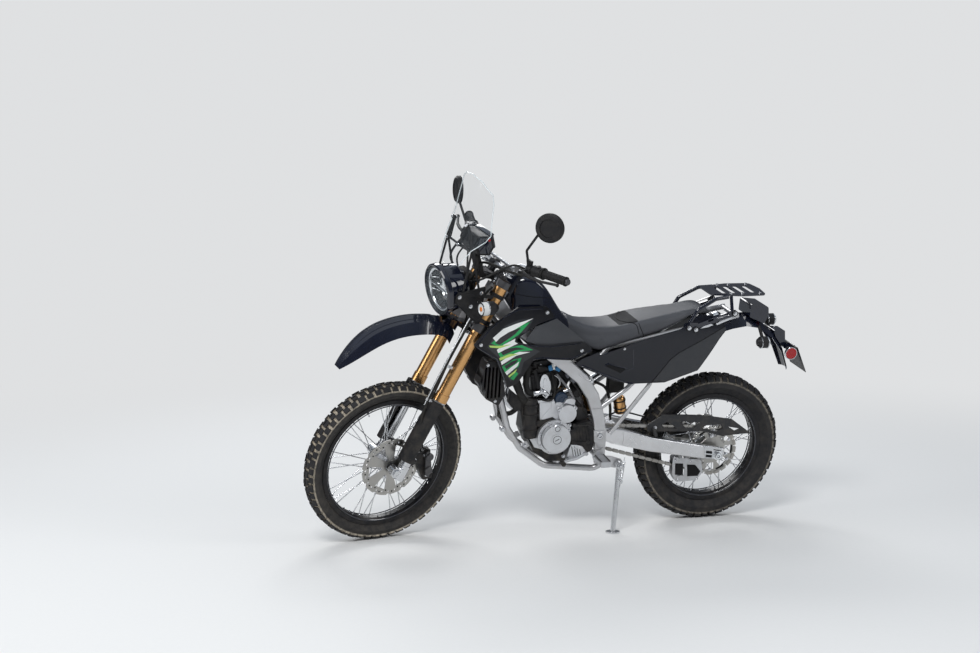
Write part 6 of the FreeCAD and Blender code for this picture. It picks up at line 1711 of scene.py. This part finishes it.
def add_stand_detail():
    """The stand's spring and pivot bolt, and teeth on the footpegs."""
    metal = bmesh.new()
    pivot = at_pivot(-94, 128, -134)
    foot = at_pivot(-63, 195, -410)
    run = (foot - pivot).normalized()
    coil = []
    start = pivot + Vector((-20, 8, 34))
    end = pivot + run * 96 + Vector((-12, 2, 0))
    length = (end - start).length
    along = (end - start).normalized()
    across = along.orthogonal().normalized()
    other = along.cross(across)
    turns = 16
    for step in range(turns * 10 + 1):
        angle = 2 * math.pi * step / 10
        share = 0.12 + 0.76 * step / (turns * 10)
        around = across * math.cos(angle) + other * math.sin(angle)
        coil.append(start + along * length * share + around * 5.4)
    hose(metal, coil, 1.3, 6, 3.0)
    rod(metal, start, start + along * length * 0.14, 2.0, 8)
    rod(metal, start + along * length * 0.86, end, 2.0, 8)
    add_piece("stand_spring", metal, "side_stand", "bright_steel")
    bolts = bmesh.new()
    bolt(bolts, pivot + SIDE * 19.5, SIDE, 9.0)
    add_piece("stand_bolt", bolts, "chassis", "bright_steel")
    teeth = bmesh.new()
    for side in (-1, 1):
        for step in range(8):
            y = side * (140 + step * 10)
            for x in (-19, 19):
                block(teeth, at_pivot(x, y, -82), (5, 5, 6), 0.6)
        side_slab(teeth, [(518, 366), (504, 330), (530, 324), (546, 356)], side, 130, 136, 1.5)
    add_piece("peg_teeth", teeth, "chassis", "dark_alloy")
    rubber = bmesh.new()
    rows = [(0, 0), (0, 9), (2, 10), (30, 10), (32, 9), (32, 0)]
    turned(rubber, at_pivot(171, 186, -95), SIDE * -1, rows, 20)
    add_piece("gear_lever_rubber", rubber, "chassis", "rubber")


def add_exhaust_detail():
    """Bands, a heat shield's screws and the end cap of the silencer."""
    start = at_pivot(-211, -158, 253)
    end = at_pivot(-631, -172, 379)
    run = (end - start).normalized()
    bands = bmesh.new()
    for share in (0.08, 0.55, 0.93):
        turned(bands, start + (end - start) * share, run, ring_rows(-7, 7, 51, 54), 48)
    turned(bands, end - run * 2, run, [(0, 53), (6, 53), (14, 46), (16, 24), (8, 20), (8, 18)], 48)
    add_piece("silencer_bands", bands, "chassis", "black_metal")
    rivets = bmesh.new()
    for share in (0.12, 0.89):
        for index in range(12):
            angle = 2 * math.pi * index / 12
            place = facing(start + (end - start) * share, run)
            at = place @ Vector((52 * math.cos(angle), 52 * math.sin(angle), 0))
            bolt(rivets, at, place.to_3x3() @ Vector((math.cos(angle), math.sin(angle), 0)), 2.6, "cap")
    add_piece("silencer_rivets", rivets, "chassis", "bright_steel")


def add_radiator_detail():
    """Core lines behind the louvres, caps and screws."""
    core, screws = shapes(2)
    for side in (-1, 1):
        for step in range(14):
            level = 262 + step * 13
            ahead = 383 + (level - 250) * 0.13
            block(core, at_pivot(ahead, side * 97, level), (3, 70, 2.4), 0)
        for x, z in ((1045, 776), (1007, 622), (1069, 708)):
            bolt(screws, outer_spot("radiators", "chassis", x, z, side), SIDE * side, 4.6, "cap")
    turned(core, at_pivot(436, 97, 444), (0.1, 0, 1), cap_rows(0, 10, 12, 16, 14), 24)
    add_piece("radiator_cores", core, "chassis", "dark_alloy")
    add_piece("radiator_screws", screws, "chassis", "bright_steel")


def add_frame_lines():
    """Wires and a hose that follow the frame behind the engine."""
    lines = bmesh.new()
    for radius, *spots in (
        (4.0, (86, 84, 216), (40, 88, 190), (10, 90, 130), (-14, 92, 70)),
        (6.0, (60, 60, 230), (-30, 64, 190), (-60, 60, 110), (-70, 50, 40)),
        (3.6, (-60, -100, -60), (-160, -112, 10), (-300, -118, -20), (-430, -116, -50)),
    ):
        hose(lines, [at_pivot(*spot) for spot in spots], radius)
    block(lines, at_pivot(-84, 40, 190), (70, 40, 60), 6.0)
    add_piece("frame_lines", lines, "chassis", "rubber")
    gold = bmesh.new()
    reservoir = at_pivot(-100, 52, 140)
    down = Vector((-0.2, 0.0, -1.0))
    rows = [(0, 0), (0, 24), (6, 26), (64, 26), (70, 22), (70, 0)]
    turned(gold, at_pivot(26, 20, 150), (-0.33, 0.0, -1), rows, 32)
    rows = [(0, 0), (0, 22), (5, 25), (66, 25), (72, 21), (72, 0)]
    turned(gold, reservoir, down, rows, 32)
    add_piece("shock_reservoir", gold, "chassis", "bronze")
    rings = bmesh.new()
    for drop in (12, 44, 60):
        turned(rings, reservoir + down.normalized() * drop, down, ring_rows(0, 5, 24.6, 27.4), 32)
    add_piece("reservoir_rings", rings, "chassis", "black_metal")


dress_nodes()
add_front_wheel_detail()
add_rear_wheel_detail()
add_fork_detail()
add_guard_and_caliper_detail()
add_headlight_detail()
add_screen_detail()
add_engine_castings()
add_engine_dark_parts()
add_engine_hoses()
add_plugs()
add_frame_detail()
add_shards()
add_panel_detail()
add_tank_cap()
add_seat()
add_grips_and_switches()
add_mirror_detail()
add_cockpit_lines()
add_instrument_detail()
add_bracket_detail()
add_front_signal_detail()
add_fender_detail()
add_swingarm_detail()
add_chain_guard()
add_chain_detail()
add_rack_detail()
add_tail_detail()
add_stand_detail()
add_exhaust_detail()
add_radiator_detail()
add_frame_lines()
add_camera()
add_world()
add_lamps()
add_floor()
bpy.context.scene.view_settings.view_transform = "Standard"
